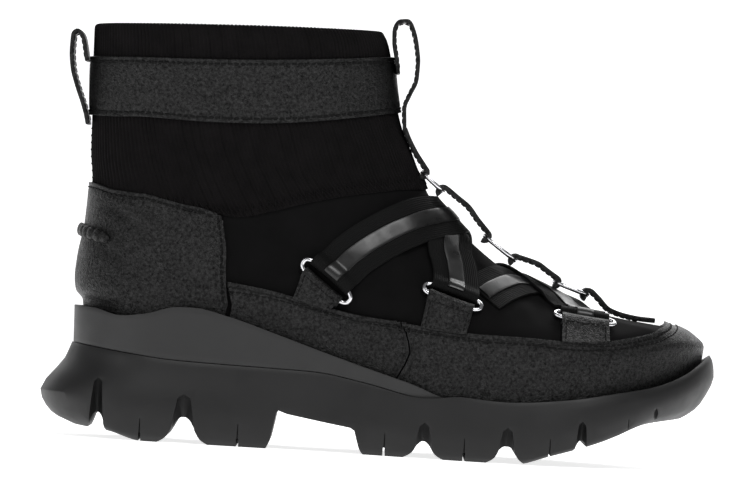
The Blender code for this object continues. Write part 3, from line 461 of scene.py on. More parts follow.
def find_above(x, y, side):
    """Turn and level of the skin's point that is seen from above at x, and y off the line that the toe closes on."""
    middle = float(toe_line(share_of(x))) * SOLE_WIDTH
    return seek(x, side, lambda point: abs(point[1] - middle) < y)


def level_on(line, axis, value):
    """Level at which the back or front line passes this x (axis 0) or z (axis 1)."""
    rising = line(1)[axis] > line(0)[axis]
    low, high = 0.0, 1.0
    for _ in range(40):
        level = (low + high) / 2
        if (line(level)[axis] < value) == rising:
            low = level
        else:
            high = level
    return low


def edge(points):
    """Turn and level along an edge on the skin, by the share of its length."""
    points = np.array(points, float)
    share = lengths(skin(points[:, 0], points[:, 1]))
    share = share / share[-1]
    return lambda t: (curve_at(share, points[:, 0], t), curve_at(share, points[:, 1], t))


def mirror_turn(place):
    turn, level = place
    return 2 - turn, level


def both_sides(outer):
    """The outer side's points from the front to the back, and the inner side's back to the front."""
    inner = [mirror_turn(place) for place in outer[1:]]
    return [(turn - 2, level) for turn, level in inner][::-1] + outer


def start(name):
    """Nothing selected, and object mode, before a piece is begun."""
    if bpy.context.object and bpy.context.mode != "OBJECT":
        bpy.ops.object.mode_set(mode="OBJECT")
    bpy.ops.object.select_all(action="DESELECT")
    return name


def choose(*pieces):
    start("")
    for piece in pieces:
        piece.select_set(True)
    bpy.context.view_layer.objects.active = pieces[0]


def named(name):
    made = bpy.context.active_object
    made.name = name
    made.data.name = name
    return made


def modify(piece, kind, **settings):
    """Adds a modifier and applies it."""
    choose(piece)
    bpy.ops.object.modifier_add(type=kind)
    modifier = piece.modifiers[-1]
    for key, value in settings.items():
        setattr(modifier, key, value)
    bpy.ops.object.modifier_apply(modifier=modifier.name)
    return piece


def edit(piece, *steps):
    """Runs edit-mode steps on the whole of a piece."""
    choose(piece)
    bpy.ops.object.mode_set(mode="EDIT")
    bpy.ops.mesh.select_all(action="SELECT")
    for step in steps:
        step()
    bpy.ops.object.mode_set(mode="OBJECT")
    return piece


def merge():
    bpy.ops.mesh.remove_doubles(threshold=1e-6)


def face_out():
    bpy.ops.mesh.normals_make_consistent(inside=False)


def set_points(piece, points):
    piece.data.vertices.foreach_set("co", np.ascontiguousarray(points, float).reshape(-1))
    piece.data.update()


def grid(name, points, closed=False, looped=False):
    """A sheet through points[row, column], with its own lengths in millimetres as UV. Closed joins its last column
    to its first, and looped its last row to its first."""
    if closed:
        points = np.concatenate([points, points[:, :1]], axis=1)
    if looped:
        points = np.concatenate([points, points[:1]], axis=0)
    rows, columns = points.shape[:2]
    start(name)
    bpy.ops.mesh.primitive_grid_add(x_subdivisions=columns - 1, y_subdivisions=rows - 1, size=2)
    sheet = named(name)
    set_points(sheet, points)
    middle = lengths(points[rows // 2])
    side = np.concatenate([np.zeros((1, columns)), np.cumsum(np.linalg.norm(np.diff(points, axis=0), axis=-1), axis=0)])
    place = np.stack([np.broadcast_to(middle, side.shape), side], axis=-1).reshape(-1, 2) / MM
    corner = np.empty(len(sheet.data.loops), int)
    sheet.data.loops.foreach_get("vertex_index", corner)
    sheet.data.uv_layers[0].data.foreach_set("uv", place[corner].reshape(-1))
    if closed or looped:
        edit(sheet, merge)
    return sheet


def thicken(sheet, thickness, offset, even=True):
    return modify(sheet, "SOLIDIFY", thickness=thickness, offset=offset, use_even_offset=even, use_quality_normals=True)


def round_edges(piece, width, segments=2, angle=50):
    return modify(
        piece, "BEVEL", width=width, segments=segments, limit_method="ANGLE", angle_limit=math.radians(angle),
        use_clamp_overlap=True, miter_outer="MITER_ARC",
    )


def settle(piece, slot, finish, *nodes, angle=40):
    """Shades a piece, gives it its finish, and puts it in place of its solids."""
    choose(piece)
    bpy.ops.object.shade_smooth_by_angle(angle=math.radians(angle))
    piece.data.materials.clear()
    piece.data.materials.append(finish)
    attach(piece, "root")
    if nodes:
        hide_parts(*nodes)
    return piece


def join(name, pieces):
    if len(pieces) > 1:
        choose(*pieces)
        bpy.ops.object.join()
    else:
        choose(pieces[0])
    return named(name)


def copy(piece):
    choose(piece)
    bpy.ops.object.duplicate()
    return bpy.context.active_object


def remove(*pieces):
    choose(*pieces)
    bpy.ops.object.delete()


def ramp(x, low, high):
    """0 below low, 1 above high, and smooth between."""
    t = np.clip((x - low) / (high - low), 0, 1)
    return t * t * (3 - 2 * t)


def dip(x, centre, width):
    """1 at the centre, running out smoothly at this width from it."""
    return np.exp(-((x - centre) / width) ** 2)


def crowded(count, by):
    """Shares from 0 to 1 that lie closer together at both ends."""
    t = np.linspace(0, 1, count)
    return t - by * np.sin(2 * math.pi * t) / (2 * math.pi)


class Panel:
    """A panel on the skin between two edges: its places, and how far each lies from its four sides."""

    def __init__(self, foot, top, shares, heights):
        t = np.asarray(shares)[None, :]
        s = np.asarray(heights)[:, None]
        foot_turn, foot_level = foot(t)
        top_turn, top_level = top(t)
        self.turn = foot_turn + (top_turn - foot_turn) * s
        self.level = foot_level + (top_level - foot_level) * s
        self.point, self.normal, _, _ = skin_frame(self.turn, self.level)
        rows, columns = self.turn.shape
        rise = np.linalg.norm(np.diff(self.point, axis=0), axis=-1)
        run = np.linalg.norm(np.diff(self.point, axis=1), axis=-1)
        self.from_foot = np.concatenate([np.zeros((1, columns)), np.cumsum(rise, axis=0)]) / MM
        self.from_top = self.from_foot[-1:] - self.from_foot
        self.from_start = np.concatenate([np.zeros((rows, 1)), np.cumsum(run, axis=1)], axis=1) / MM
        self.from_end = self.from_start[:, -1:] - self.from_start

    def lifted(self, lift):
        return self.point + self.normal * np.broadcast_to(lift, self.turn.shape)[..., None]


def guide(name, points):
    """A curve through these points, for copies to follow."""
    start(name)
    bpy.ops.curve.primitive_nurbs_path_add()
    line = named(name)
    bpy.ops.object.mode_set(mode="EDIT")
    bpy.ops.curve.select_all(action="SELECT")
    bpy.ops.curve.spline_type_set(type="POLY")
    bpy.ops.object.mode_set(mode="OBJECT")
    line.location = (0, 0, 0)
    spline = line.data.splines[0]
    spline.points.add(len(points) - len(spline.points))
    four = np.concatenate([points, np.ones((len(points), 1))], axis=1)
    spline.points.foreach_set("co", four.reshape(-1))
    line.data.dimensions = "3D"
    line.data.twist_mode = "MINIMUM"
    return line


def stitch(length, thread):
    """One stitch along X, a short rounded length of thread."""
    start("stitch")
    bpy.ops.mesh.primitive_cylinder_add(
        vertices=6, radius=thread / 2, depth=length, end_fill_type="NGON", rotation=(0, math.pi / 2, 0)
    )
    made = named("stitch")
    bpy.ops.object.transform_apply(location=True, rotation=True, scale=True)
    return modify(made, "BEVEL", width=thread * 0.42, segments=1, limit_method="ANGLE", angle_limit=math.radians(70))


def resample(points, count):
    """This many points at even lengths along a line of points."""
    far = lengths(points)
    even = np.linspace(0, far[-1], count)
    return np.stack([np.interp(even, far, points[:, k]) for k in range(3)], axis=-1)


def sew(points, pitch, length, thread):
    """A row of stitches along a line of points, one after another at this pitch."""
    points = np.asarray(points, float)
    total = lengths(points)[-1]
    count = max(int(round(total / pitch)), 1)
    step = total / count
    one = stitch(length, thread)
    set_points(one, np.array([v.co for v in one.data.vertices]) + np.array([step / 2, 0, 0]))
    line = guide("guide", resample(points, max(3 * count, 8)))
    choose(one)
    modify(one, "ARRAY", fit_type="FIXED_COUNT", count=count, use_relative_offset=False, use_constant_offset=True,
           constant_offset_displace=(step, 0, 0))
    modify(one, "CURVE", object=line, deform_axis="POS_X")
    remove(line)
    return one


def on_panel(panel_line, lift):
    """Points of a line of turns and levels on the skin, at this height off it."""
    turn, level = panel_line
    return off_skin(np.asarray(turn), np.asarray(level), lift)


def inside_edge(foot, top, shares, inset):
    """Turn and level along a panel's top edge, this far below it."""
    t = np.asarray(shares)
    foot_turn, foot_level = foot(t)
    top_turn, top_level = top(t)
    tall = np.linalg.norm(skin(top_turn, top_level) - skin(foot_turn, foot_level), axis=-1)
    s = 1 - inset / tall
    return foot_turn + (top_turn - foot_turn) * s, foot_level + (top_level - foot_level) * s


class Nodes:
    """A material's nodes, added and linked one after another."""

    def __init__(self, name, colour, roughness, metallic=0.0):
        self.material = bpy.data.materials.new(name)
        self.material.use_nodes = True
        self.material.diffuse_color = (*colour, 1.0)
        self.tree = self.material.node_tree
        self.shader = self.tree.nodes["Principled BSDF"]
        self.set(self.shader, {"Base Color": (*colour, 1.0), "Roughness": roughness, "Metallic": metallic})
        self.place = self.tree.nodes.new("ShaderNodeTexCoord")
        self.normal = None

    def set(self, node, values):
        for key, value in values.items():
            node.inputs[key].default_value = value

    def add(self, kind, values=None, **settings):
        node = self.tree.nodes.new(kind)
        for key, value in settings.items():
            setattr(node, key, value)
        self.set(node, values or {})
        return node

    def link(self, out, into):
        self.tree.links.new(out, into)

    def noise(self, per_mm, detail=2.0, roughness=0.5, coordinates="Object"):
        """Noise of this many bumps a millimetre."""
        scale = per_mm if coordinates == "UV" else per_mm / MM
        node = self.add("ShaderNodeTexNoise", {"Scale": scale, "Detail": detail, "Roughness": roughness})
        self.link(self.place.outputs[coordinates], node.inputs["Vector"])
        return node.outputs["Fac"]

    def cells(self, per_mm, feature="DISTANCE_TO_EDGE"):
        """Cells like a grained hide's, this many a millimetre."""
        node = self.add("ShaderNodeTexVoronoi", {"Scale": per_mm / MM}, feature=feature)
        self.link(self.place.outputs["Object"], node.inputs["Vector"])
        return node.outputs["Distance"]

    def ribs(self, per_mm, direction):
        """Even ribs across the piece's own lengths, this many a millimetre."""
        node = self.add(
            "ShaderNodeTexWave", {"Scale": per_mm * math.pi / 10, "Distortion": 0.0}, wave_type="BANDS",
            bands_direction=direction, wave_profile="SIN",
        )
        self.link(self.place.outputs["UV"], node.inputs["Vector"])
        return node.outputs["Fac"]

    def spread(self, source, low, high, from_low=0.3, from_high=0.7):
        node = self.add(
            "ShaderNodeMapRange", {"From Min": from_low, "From Max": from_high, "To Min": low, "To Max": high}, clamp=True
        )
        self.link(source, node.inputs["Value"])
        return node.outputs["Result"]

    def tones(self, source, dark, light):
        node = self.add("ShaderNodeMix", data_type="RGBA")
        node.inputs["A"].default_value = (*dark, 1.0)
        node.inputs["B"].default_value = (*light, 1.0)
        self.link(self.spread(source, 0.0, 1.0), node.inputs["Factor"])
        self.link(node.outputs["Result"], self.shader.inputs["Base Color"])

    def rough(self, source, low, high):
        self.link(self.spread(source, low, high), self.shader.inputs["Roughness"])

    def bump(self, source, depth_mm, strength=1.0):
        node = self.add("ShaderNodeBump", {"Strength": strength, "Distance": depth_mm * MM})
        self.link(source, node.inputs["Height"])
        if self.normal:
            self.link(self.normal, node.inputs["Normal"])
        self.normal = node.outputs["Normal"]
        self.link(self.normal, self.shader.inputs["Normal"])


def make_looks(colours):
    """The boot's finishes by name."""
    looks = {}

    leather = Nodes("scene_leather", colours.leather, 0.42)
    leather.link(leather.spread(leather.noise(0.8, 3.0, 0.7), 0.02, 0.40), leather.shader.inputs["Specular IOR Level"])
    leather.tones(leather.noise(0.05, 3.0), tuple(0.72 * c for c in colours.leather), tuple(1.35 * c for c in colours.leather))
    leather.rough(leather.noise(0.12, 4.0), 0.30, 0.46)
    leather.bump(leather.cells(0.95), 0.34, 1.0)
    leather.bump(leather.noise(0.45, 5.0, 0.7), 0.75, 0.8)
    looks["leather"] = leather.material

    gloss = Nodes("scene_gloss_leather", tuple(0.8 * c for c in colours.leather), 0.32)
    gloss.rough(gloss.noise(0.2, 3.0), 0.26, 0.42)
    gloss.bump(gloss.cells(1.1), 0.05, 0.35)
    looks["gloss"] = gloss.material

    thread = Nodes("scene_thread", colours.thread, 0.6)
    thread.set(thread.shader, {"Specular IOR Level": 0.12})
    thread.bump(thread.noise(6.0, 1.0), 0.05, 0.4)
    looks["thread"] = thread.material

    seam = Nodes("scene_seam", colours.knit, 0.8)
    seam.set(seam.shader, {"Specular IOR Level": 0.15})
    seam.bump(seam.noise(6.0, 1.0), 0.05, 0.4)
    looks["seam"] = seam.material

    vamp = Nodes("scene_vamp", colours.vamp, 0.9)
    vamp.set(vamp.shader, {"Sheen Weight": 0.015, "Sheen Roughness": 0.5, "Specular IOR Level": 0.07})
    vamp.tones(vamp.noise(0.08, 4.0), tuple(0.8 * c for c in colours.vamp), tuple(1.25 * c for c in colours.vamp))
    vamp.bump(vamp.noise(2.6, 3.0, 0.7), 0.14, 0.5)
    looks["vamp"] = vamp.material

    knit = Nodes("scene_knit", colours.knit, 0.88)
    knit.set(knit.shader, {"Sheen Weight": 0.015, "Sheen Roughness": 0.45, "Specular IOR Level": 0.08})
    knit.tones(knit.noise(0.15, 4.0), tuple(0.75 * c for c in colours.knit), tuple(1.3 * c for c in colours.knit))
    knit.bump(knit.ribs(1.35, "Y"), 0.10, 0.5)
    knit.bump(knit.noise(3.5, 2.0, 0.7), 0.10, 0.5)
    looks["knit"] = knit.material

    elastic = Nodes("scene_elastic", colours.elastic, 0.62)
    elastic.set(elastic.shader, {"Sheen Weight": 0.01, "Specular IOR Level": 0.07})
    elastic.bump(elastic.ribs(1.15, "X"), 0.16, 0.8)
    elastic.bump(elastic.noise(3.0, 2.0), 0.05, 0.4)
    looks["elastic"] = elastic.material

    lining = Nodes("scene_lining", (0.020, 0.019, 0.021), 0.9)
    lining.bump(lining.noise(1.8, 3.0), 0.2, 0.5)
    looks["lining"] = lining.material

    rubber = Nodes("scene_rubber", colours.rubber, 0.50)
    rubber.set(rubber.shader, {"Specular IOR Level": 0.34})
    rubber.tones(rubber.noise(0.04, 3.0), tuple(0.85 * c for c in colours.rubber), tuple(1.15 * c for c in colours.rubber))
    rubber.rough(rubber.noise(0.10, 4.0), 0.44, 0.56)
    rubber.bump(rubber.noise(3.0, 2.0), 0.03, 0.35)
    looks["rubber"] = rubber.material

    foam = Nodes("scene_foam", colours.foam, 0.52)
    foam.rough(foam.noise(0.08, 4.0), 0.46, 0.58)
    foam.bump(foam.noise(2.4, 2.0), 0.03, 0.3)
    looks["foam"] = foam.material

    metal = Nodes("scene_metal", colours.metal, 0.24, 1.0)
    metal.rough(metal.noise(0.5, 3.0), 0.14, 0.26)
    looks["metal"] = metal.material
    return looks


def colour(name, value, describe):
    return FloatVectorProperty(name=name, description=describe, subtype="COLOR", size=3, min=0, max=1, default=value)


class BootColours(bpy.types.PropertyGroup):
    """Base colours of the finishes"""

    leather: colour("Leather", (0.0044, 0.0044, 0.0044), "Guards, counter, band, loops and centre strap")
    thread: colour("Thread", (0.0030, 0.0030, 0.0030), "Stitches")
    vamp: colour("Vamp", (0.0028, 0.0027, 0.0028), "Matt stretch fabric of the upper")
    knit: colour("Knit", (0.0034, 0.0029, 0.0031), "Ribbed knit of the shaft")
    elastic: colour("Elastic", (0.0036, 0.0036, 0.0036), "Woven elastic of the crossed straps")
    rubber: colour("Rubber", (0.0086, 0.0086, 0.0088), "Outsole")
    foam: colour("Foam", (0.0086, 0.0086, 0.0088), "Midsole")
    metal: colour("Metal", (0.66, 0.66, 0.68), "Rings")


LUG_CORNER = 2.4 * MM
SIPE_CLIMB = 6 * MM
ARCH_ROUNDED = [
    # share of the length, share of the sole's height
    (0.3400, -0.10), (0.3412, 0.000), (0.3432, 0.020), (0.3462, 0.060), (0.3490, 0.130), (0.3540, 0.270), (0.3570, 0.284),
    (0.3700, 0.262), (0.4200, 0.222), (0.4640, 0.190), (0.4700, 0.170), (0.4735, 0.110), (0.4775, 0.050), (0.4812, 0.015),
    (0.4840, 0.000), (0.4855, -0.10),
]


def profile(rows, fine):
    """The side's table at this many heights, smooth between its rows."""
    table = np.array(rows)
    far = np.linspace(0, 1, len(rows))
    return np.stack([curve_at(far, column, np.linspace(0, 1, fine)) for column in table.T], axis=-1)


def round_ring(count, place):
    """Points all round the sole: place(u, side) gives each one, from the back over the outer side."""
    shares = (1 - np.cos(math.pi * np.linspace(0, 1, count + 1))) / 2
    outer = np.stack(place(shares, -1), axis=-1)
    inner = np.stack(place(shares[1:-1][::-1], 1), axis=-1)
    return np.concatenate([outer, inner])


def outsole_ring(row):
    back_h, side_h, toe_h, back_o, heel_o, waist_o, ball_o, toe_o = row
    height = smooth([(0, back_h), (BACK_ROUND, side_h), (1 - TOE_ROUND, side_h), (1, toe_h)])
    spread = smooth([(0, heel_o), (HEEL_PLACE, heel_o), (WAIST_PLACE, waist_o), (BALL_PLACE, ball_o), (1, ball_o)])

    def place(u, side):
        x, y = outline(u, side, spread(u) * HEEL_OVERHANG, back_o * HEEL_OVERHANG, toe_o * TOE_OVERHANG)
        low = tread_share(u) * SOLE_HEIGHT
        return x, y, low + height(u) * (wall_top(x) - low)

    return place




def closed_loft(name, rings):
    """A closed body through rings of equal counts, from the ground up: a sheet round its side, and a floor and a top
    of rows that run across it."""
    rings = np.asarray(rings)
    side = grid(name, rings, closed=True)
    caps = []
    half = rings.shape[1] // 2
    for label, ring in (("floor", rings[0]), ("top", rings[-1])):
        outer = ring[:half + 1]
        inner = np.concatenate([ring[:1], ring[half:][::-1]])
        share = np.linspace(0, 1, 13)[:, None, None]
        caps.append(grid(f"{name}_{label}", outer[None] * (1 - share) + inner[None] * share))
    body = join(name, [side] + caps)
    edit(body, merge, lambda: bpy.ops.mesh.dissolve_degenerate(threshold=1e-7), face_out)
    return body


def wedge(name, section, y_low, y_high):
    """A cutter with this section in X and Z, anticlockwise seen from the outer side."""
    start(name)
    bpy.ops.mesh.primitive_circle_add(vertices=len(section), fill_type="NGON")
    cutter = named(name)
    set_points(cutter, np.array([(x, y_low, z) for x, z in section]))
    edit(cutter, lambda: bpy.ops.mesh.extrude_region_move(TRANSFORM_OT_translate={"value": (0, y_high - y_low, 0)}),
         lambda: bpy.ops.mesh.select_all(action="SELECT"), face_out)
    return cutter


def flute_cutter(name, side, x, edge_y, half, low, inner_top, tip):
    """A notch that climbs the side wall above a groove, deep at the ground and running out at its tip."""
    outside = edge_y + side * 20 * MM
    inside = edge_y - side * FLUTE_REACH
    blunt = 0.45 * half
    shoulder = tip - 1.6 * MM
    at_tip = edge_y - side * 1.0 * MM
    corners = np.array([
        (x - half, outside, low), (x + half, outside, low), (x, outside, tip + 6 * MM),
        (x - blunt, outside, tip + 4 * MM), (x + blunt, outside, tip + 4 * MM),
        (x - half, inside, low), (x + half, inside, low), (x, inside, inner_top),
        (x - blunt, at_tip, shoulder), (x, at_tip, tip), (x + blunt, at_tip, shoulder),
    ])
    start(name)
    bpy.ops.mesh.primitive_circle_add(vertices=len(corners), fill_type="NOTHING")
    cutter = named(name)
    set_points(cutter, corners)
    edit(cutter, lambda: bpy.ops.mesh.convex_hull(), face_out)
    return cutter


def subtract(body, cutters):
    for cutter in cutters:
        modify(body, "BOOLEAN", operation="DIFFERENCE", solver="EXACT", object=cutter)
    remove(*cutters)


def groove_section(x, ground, top, depth, base):
    """A groove's section: its walls flare out to the lugs' rounded corners, and its top is round."""
    heights = np.concatenate([[-2 * MM], base + np.array([0.0, 0.4, 0.9, 1.5, 2.3, 3.2]) * MM])
    heights = np.concatenate([heights[heights < depth - 2.6 * MM], depth - np.array([2.2, 1.3, 0.6, 0.15]) * MM])
    half = ground / 2 + (top - ground) / 2 * np.clip(heights / depth, 0, 1)
    half = half + LUG_CORNER * np.clip(1 - (heights - base) / (3.2 * MM), 0, 1) ** 2.2
    half = half * np.sqrt(np.clip(1 - ((heights - depth + 2.2 * MM) / (2.3 * MM)).clip(0) ** 2, 0.02, 1))
    left = [(x - w, z) for w, z in zip(half, heights)]
    right = [(x + w, z) for w, z in zip(half, heights)]
    return left[:1] + right + left[:0:-1]


def outsole_cutters():
    low = -2 * MM
    cutters = []
    arch = [(along(share), height * SOLE_HEIGHT) for share, height in ARCH_ROUNDED]
    cutters.append(wedge("arch_cutter", arch[::-1], -SOLE_WIDTH, SOLE_WIDTH))
    for number, (share, ground, top, depth, flute) in enumerate(GROOVES, 1):
        x = along(share)
        base = float(tread_share(share)) * SOLE_HEIGHT
        section = groove_section(x, ground, top, depth, base)
        cutters.append(wedge(f"groove_cutter_{number}", section, -SOLE_WIDTH, SOLE_WIDTH))
        for side in (-1, 1):
            edge_y = float(outline(np.array(share), side, 0)[1])
            tip = max(depth, base) + flute * GROOVE_DEPTH
            cutters.append(flute_cutter(f"flute_cutter_{number}", side, x, edge_y, ground * 0.36, low, depth * 0.8, tip))
    for number, share in enumerate(SIPES, 1):
        x = along(share)
        top = float(tread_share(share)) * SOLE_HEIGHT + SIPE_DEPTH
        half = SIPE_WIDTH / 2
        section = [(x - half, low), (x + half, low), (x + half, top), (x - half, top)]
        cutters.append(wedge(f"sipe_cutter_{number}", section, -SOLE_WIDTH, SOLE_WIDTH))
        for side in (-1, 1):
            edge_y = float(outline(np.array(share), side, 0)[1])
            climb = [(x - half, low), (x + half, low), (x + 0.3 * half, top + SIPE_CLIMB), (x - 0.3 * half, top + SIPE_CLIMB)]
            near, out = sorted((edge_y - side * 0.8 * MM, edge_y + side * 12 * MM))
            cutters.append(wedge(f"sipe_side_cutter_{number}", climb, near, out))
    for name, first, last in (("heel", 0.07, 0.345), ("forefoot", 0.482, 0.905)):
        top = float(tread_share((first + last) / 2)) * SOLE_HEIGHT + FORE_GROOVE_DEPTH * 0.6
        section = [(along(first), low), (along(last), low), (along(last), top), (along(first), top)]
        cutters.append(wedge(f"{name}_centre_cutter", section, -CENTRE_GROOVE / 2, CENTRE_GROOVE / 2))
    return cutters


def make_outsole(sole, looks):
    def lip_ring(inset, drop):
        def place(u, side):
            climbed = wall_rise(outline(u, side, 0)[0])
            x, y = outline(u, side, -climbed * LIP - inset)
            return x, y, wall_top(x) - drop * (wall_top(x) - parting_height(x))

        return place

    rings = [round_ring(sole.columns, outsole_ring(row)) for row in profile(SIDE, sole.rows)]
    rings.append(round_ring(sole.columns, lip_ring(0.2 * MM, 0.0)))
    rings.append(round_ring(sole.columns, lip_ring(0.2 * MM + GAP, 1.0)))
    body = closed_loft("outsole_rubber_body", rings)
    subtract(body, outsole_cutters())
    round_edges(body, sole.lug_round, segments=2, angle=32)
    settle(body, "outsole_rubber", looks["rubber"], "outsole", angle=35)


def make_midsole(sole, looks):
    def place_at(offset, foot, extra=0.0):
        def place(u, side):
            climbed = wall_rise(outline(u, side, -offset)[0])
            inside = climbed * LIP + 3 * GAP * np.minimum(climbed * 30, 1.0)
            x, y = outline(u, side, -np.maximum(inside, offset) - extra)
            floor = floor_height(x)
            top = rim_height(x) + (floor - rim_height(x)) * climbed
            height = {"foot": parting_height(x) + GAP, "rim": top, "floor": floor}[foot]
            return x, y, height

        return place

    low = round_ring(sole.columns, place_at(0.0, "foot", 0.5 * MM))
    rim = round_ring(sole.columns, place_at(0.0, "rim"))
    rings = [low] + [low + (rim - low) * t for t in np.linspace(0.12, 1, 8)]
    rings.append(round_ring(sole.columns, place_at(LIP, "rim", 0.1 * MM)))
    rings.append(round_ring(sole.columns, place_at(LIP, "floor", 0.2 * MM)))
    body = closed_loft("midsole_wedge", rings)
    round_edges(body, sole.foam_round, segments=2, angle=40)
    settle(body, "midsole_foam", looks["foam"], "midsole", angle=35)


def make_insole(sole, looks):
    inset = SKIN_INSET + UPPER_WALL + 2 * GAP

    def ring(offset, height):
        def place(u, side):
            x, y = outline(u, side, -offset, toe_offset=-offset - 3 * MM)
            return x, y, floor_height(x) + height

        return round_ring(sole.columns, place)

    rings = [
        ring(inset + 1.2 * MM, 2.5 * GAP), ring(inset + 0.6 * MM, 2.5 * GAP + 0.3 * INSOLE),
        ring(inset + 1.2 * MM, INSOLE), ring(inset + 5 * MM, INSOLE - 0.8 * MM),
    ]
    body = closed_loft("insole_board", rings)
    round_edges(body, 0.5 * MM, angle=40)
    settle(body, "insole_lining", looks["lining"], "insole")


class BootSole(bpy.types.PropertyGroup):
    """Fineness and edges of the sole"""

    columns: IntProperty(name="Columns", description="Points along each side of the sole", default=110, min=24, max=240)
    rows: IntProperty(name="Rows", description="Points up the outsole's side", default=13, min=5, max=40)
    lug_round: FloatProperty(
        name="Lug edge", description="Radius on the outsole's edges", default=0.5 * MM, min=0, max=0.003, unit="LENGTH"
    )
    foam_round: FloatProperty(
        name="Midsole edge", description="Radius on the midsole's rim", default=0.7 * MM, min=0, max=0.003, unit="LENGTH"
    )


def seam_points():
    """Turn and level round the seam where the knitted shaft meets the upper."""
    back = (0.0, level_on(back_line, 1, up(SEAM_BACK)))
    outer = [find(along(s), up(k), -1) for s, k in KNIT_SEAM]
    front = (1.0, level_on(front_line, 1, up(KNIT_SEAM_FRONT)))
    inner = [mirror_turn(place) for place in reversed(outer)]
    return [back] + outer + [front] + inner + [(2.0, back[1])]


def shaft_edge(shares):
    """An edge round the shaft, from its height at the back to its height at the front."""
    back = level_on(back_line, 1, up(shares[0]))
    front = level_on(front_line, 1, up(shares[1]))
    return lambda t: (2 * t, back + (front - back) * (1 - np.cos(2 * math.pi * t)) / 2)


# Creases in the upper: share of the length and of the rise at both ends, seen from the side, and the depth
CREASES = [
    # share, rise, share, rise, depth
    (0.515, 0.250, 0.575, 0.095, 0.7 * MM),
    (0.470, 0.330, 0.545, 0.200, 0.5 * MM),
    (0.640, 0.200, 0.690, 0.060, 0.6 * MM),
    (0.690, 0.130, 0.745, 0.020, 0.5 * MM),
    (0.300, 0.300, 0.400, 0.170, 0.5 * MM),
    (0.330, 0.200, 0.420, 0.110, 0.4 * MM),
    (0.760, 0.075, 0.800, 0.010, 0.3 * MM),
]
CREASE_WIDTH = 3.2 * MM


def crease_relief(point):
    """How far the creases pull the skin in, and the ridge that stands beside each."""
    relief = np.zeros(point.shape[:-1])
    for share_a, rise_a, share_b, rise_b, depth in CREASES:
        ax, az, bx, bz = along(share_a), up(rise_a), along(share_b), up(rise_b)
        run, rise = bx - ax, bz - az
        length = math.hypot(run, rise)
        dx, dz = point[..., 0] - ax, point[..., 2] - az
        t = (dx * run + dz * rise) / length ** 2
        off = (dx * rise - dz * run) / length + 2.0 * MM * np.sin(math.pi * np.clip(t, 0, 1))
        fade = ramp(t, -0.15, 0.25) * ramp(-t, -1.15, -0.75)
        relief += fade * depth * (0.5 * dip(off, 1.5 * CREASE_WIDTH, CREASE_WIDTH) - dip(off, 0, CREASE_WIDTH))
    return relief


def make_upper(upper, looks):
    by_turn = smooth(seam_points())
    gap = GAP / UPPER_RISE
    panel = Panel(
        lambda t: (2 * t, 0 * t), lambda t: (2 * t, by_turn(2 * t) - gap),
        np.linspace(0, 1, upper.columns + 1)[:-1], np.linspace(0, 1, upper.rows),
    )
    relief = crease_relief(panel.point) * ramp(panel.from_foot, 3, 12) * ramp(panel.from_top, 3, 10)
    body = grid("upper_stretch", panel.lifted(relief), closed=True)
    edit(body, face_out)
    thicken(body, UPPER_WALL, -1)
    settle(body, "stretch_vamp", looks["vamp"], "upper")


def make_shaft(upper, looks):
    by_turn = smooth(seam_points())
    gap = GAP / UPPER_RISE
    turn = 2 * np.linspace(0, 1, upper.knit_columns + 1)[:-1]
    point, normal, _, by_level = skin_frame(turn, np.full(turn.shape, 0.985))
    round_off = SHAFT_WALL / 2 / np.linalg.norm(by_level, axis=-1)
    foot_level = by_turn(turn) - 2.4 * gap * 3
    high_level = 1.0 - round_off
    shares = np.linspace(0, 1, upper.knit_rows)[:, None]
    level = foot_level + (high_level - foot_level) * shares
    turns = np.broadcast_to(turn, level.shape)
    point, normal, _, by_level = skin_frame(turns, level)
    around = np.concatenate([[0.0], np.cumsum(np.linalg.norm(np.diff(point[-1], axis=0), axis=-1))])
    around = around / (around[-1] + np.linalg.norm(point[-1, 0] - point[-1, -1]))
    rib = upper.rib_depth * (np.abs(np.sin(math.pi * around * upper.ribs)) - 0.5)
    lap = upper.lap * (1 - ramp(np.linspace(0, 1, upper.knit_rows), 0.03, 0.14))[:, None]
    outside = point + normal * (rib[None, :] + lap)[..., None]
    last, last_normal, upwards = point[-1], normal[-1], unit(by_level[-1])
    radius = SHAFT_WALL / 2
    rim = []
    for angle in np.linspace(0, math.pi, 8)[1:-1]:
        lean = rib[:, None] * math.cos(angle)
        out = (radius * (math.cos(angle) - 1) + lean) * last_normal
        rim.append(last + out + (radius + rib[:, None]) * math.sin(angle) * upwards)
    inner = (point - normal * (SHAFT_WALL + 0.3 * rib[None, :, None]))[::-3]
    inner[-1] = point[0] + normal[0] * (0.2 * upper.lap)
    points = np.concatenate([outside, np.array(rim), inner])
    body = grid("shaft_knit_body", points, closed=True, looped=True)
    edit(body, face_out)
    settle(body, "shaft_knit", looks["knit"], "shaft", angle=80)


def zigzag(name, route, count, width, thread, lift):
    """A zigzag seam along an edge of the skin: places route(t) gives, swung to both sides of it."""
    t = np.linspace(0, 1, 2 * count + 1)
    turn, level = route(t)
    swing = np.where(np.arange(len(t)) % 2 == 0, 0.5, -0.5) * width
    _, _, _, by_level = skin_frame(turn, level)
    level = level + swing / np.linalg.norm(by_level, axis=-1)
    points = off_skin(turn, level, lift)
    line = guide(name, points)
    line.data.bevel_depth = thread / 2
    line.data.bevel_resolution = 1
    choose(line)
    bpy.ops.object.convert(target="MESH")
    return named(name)


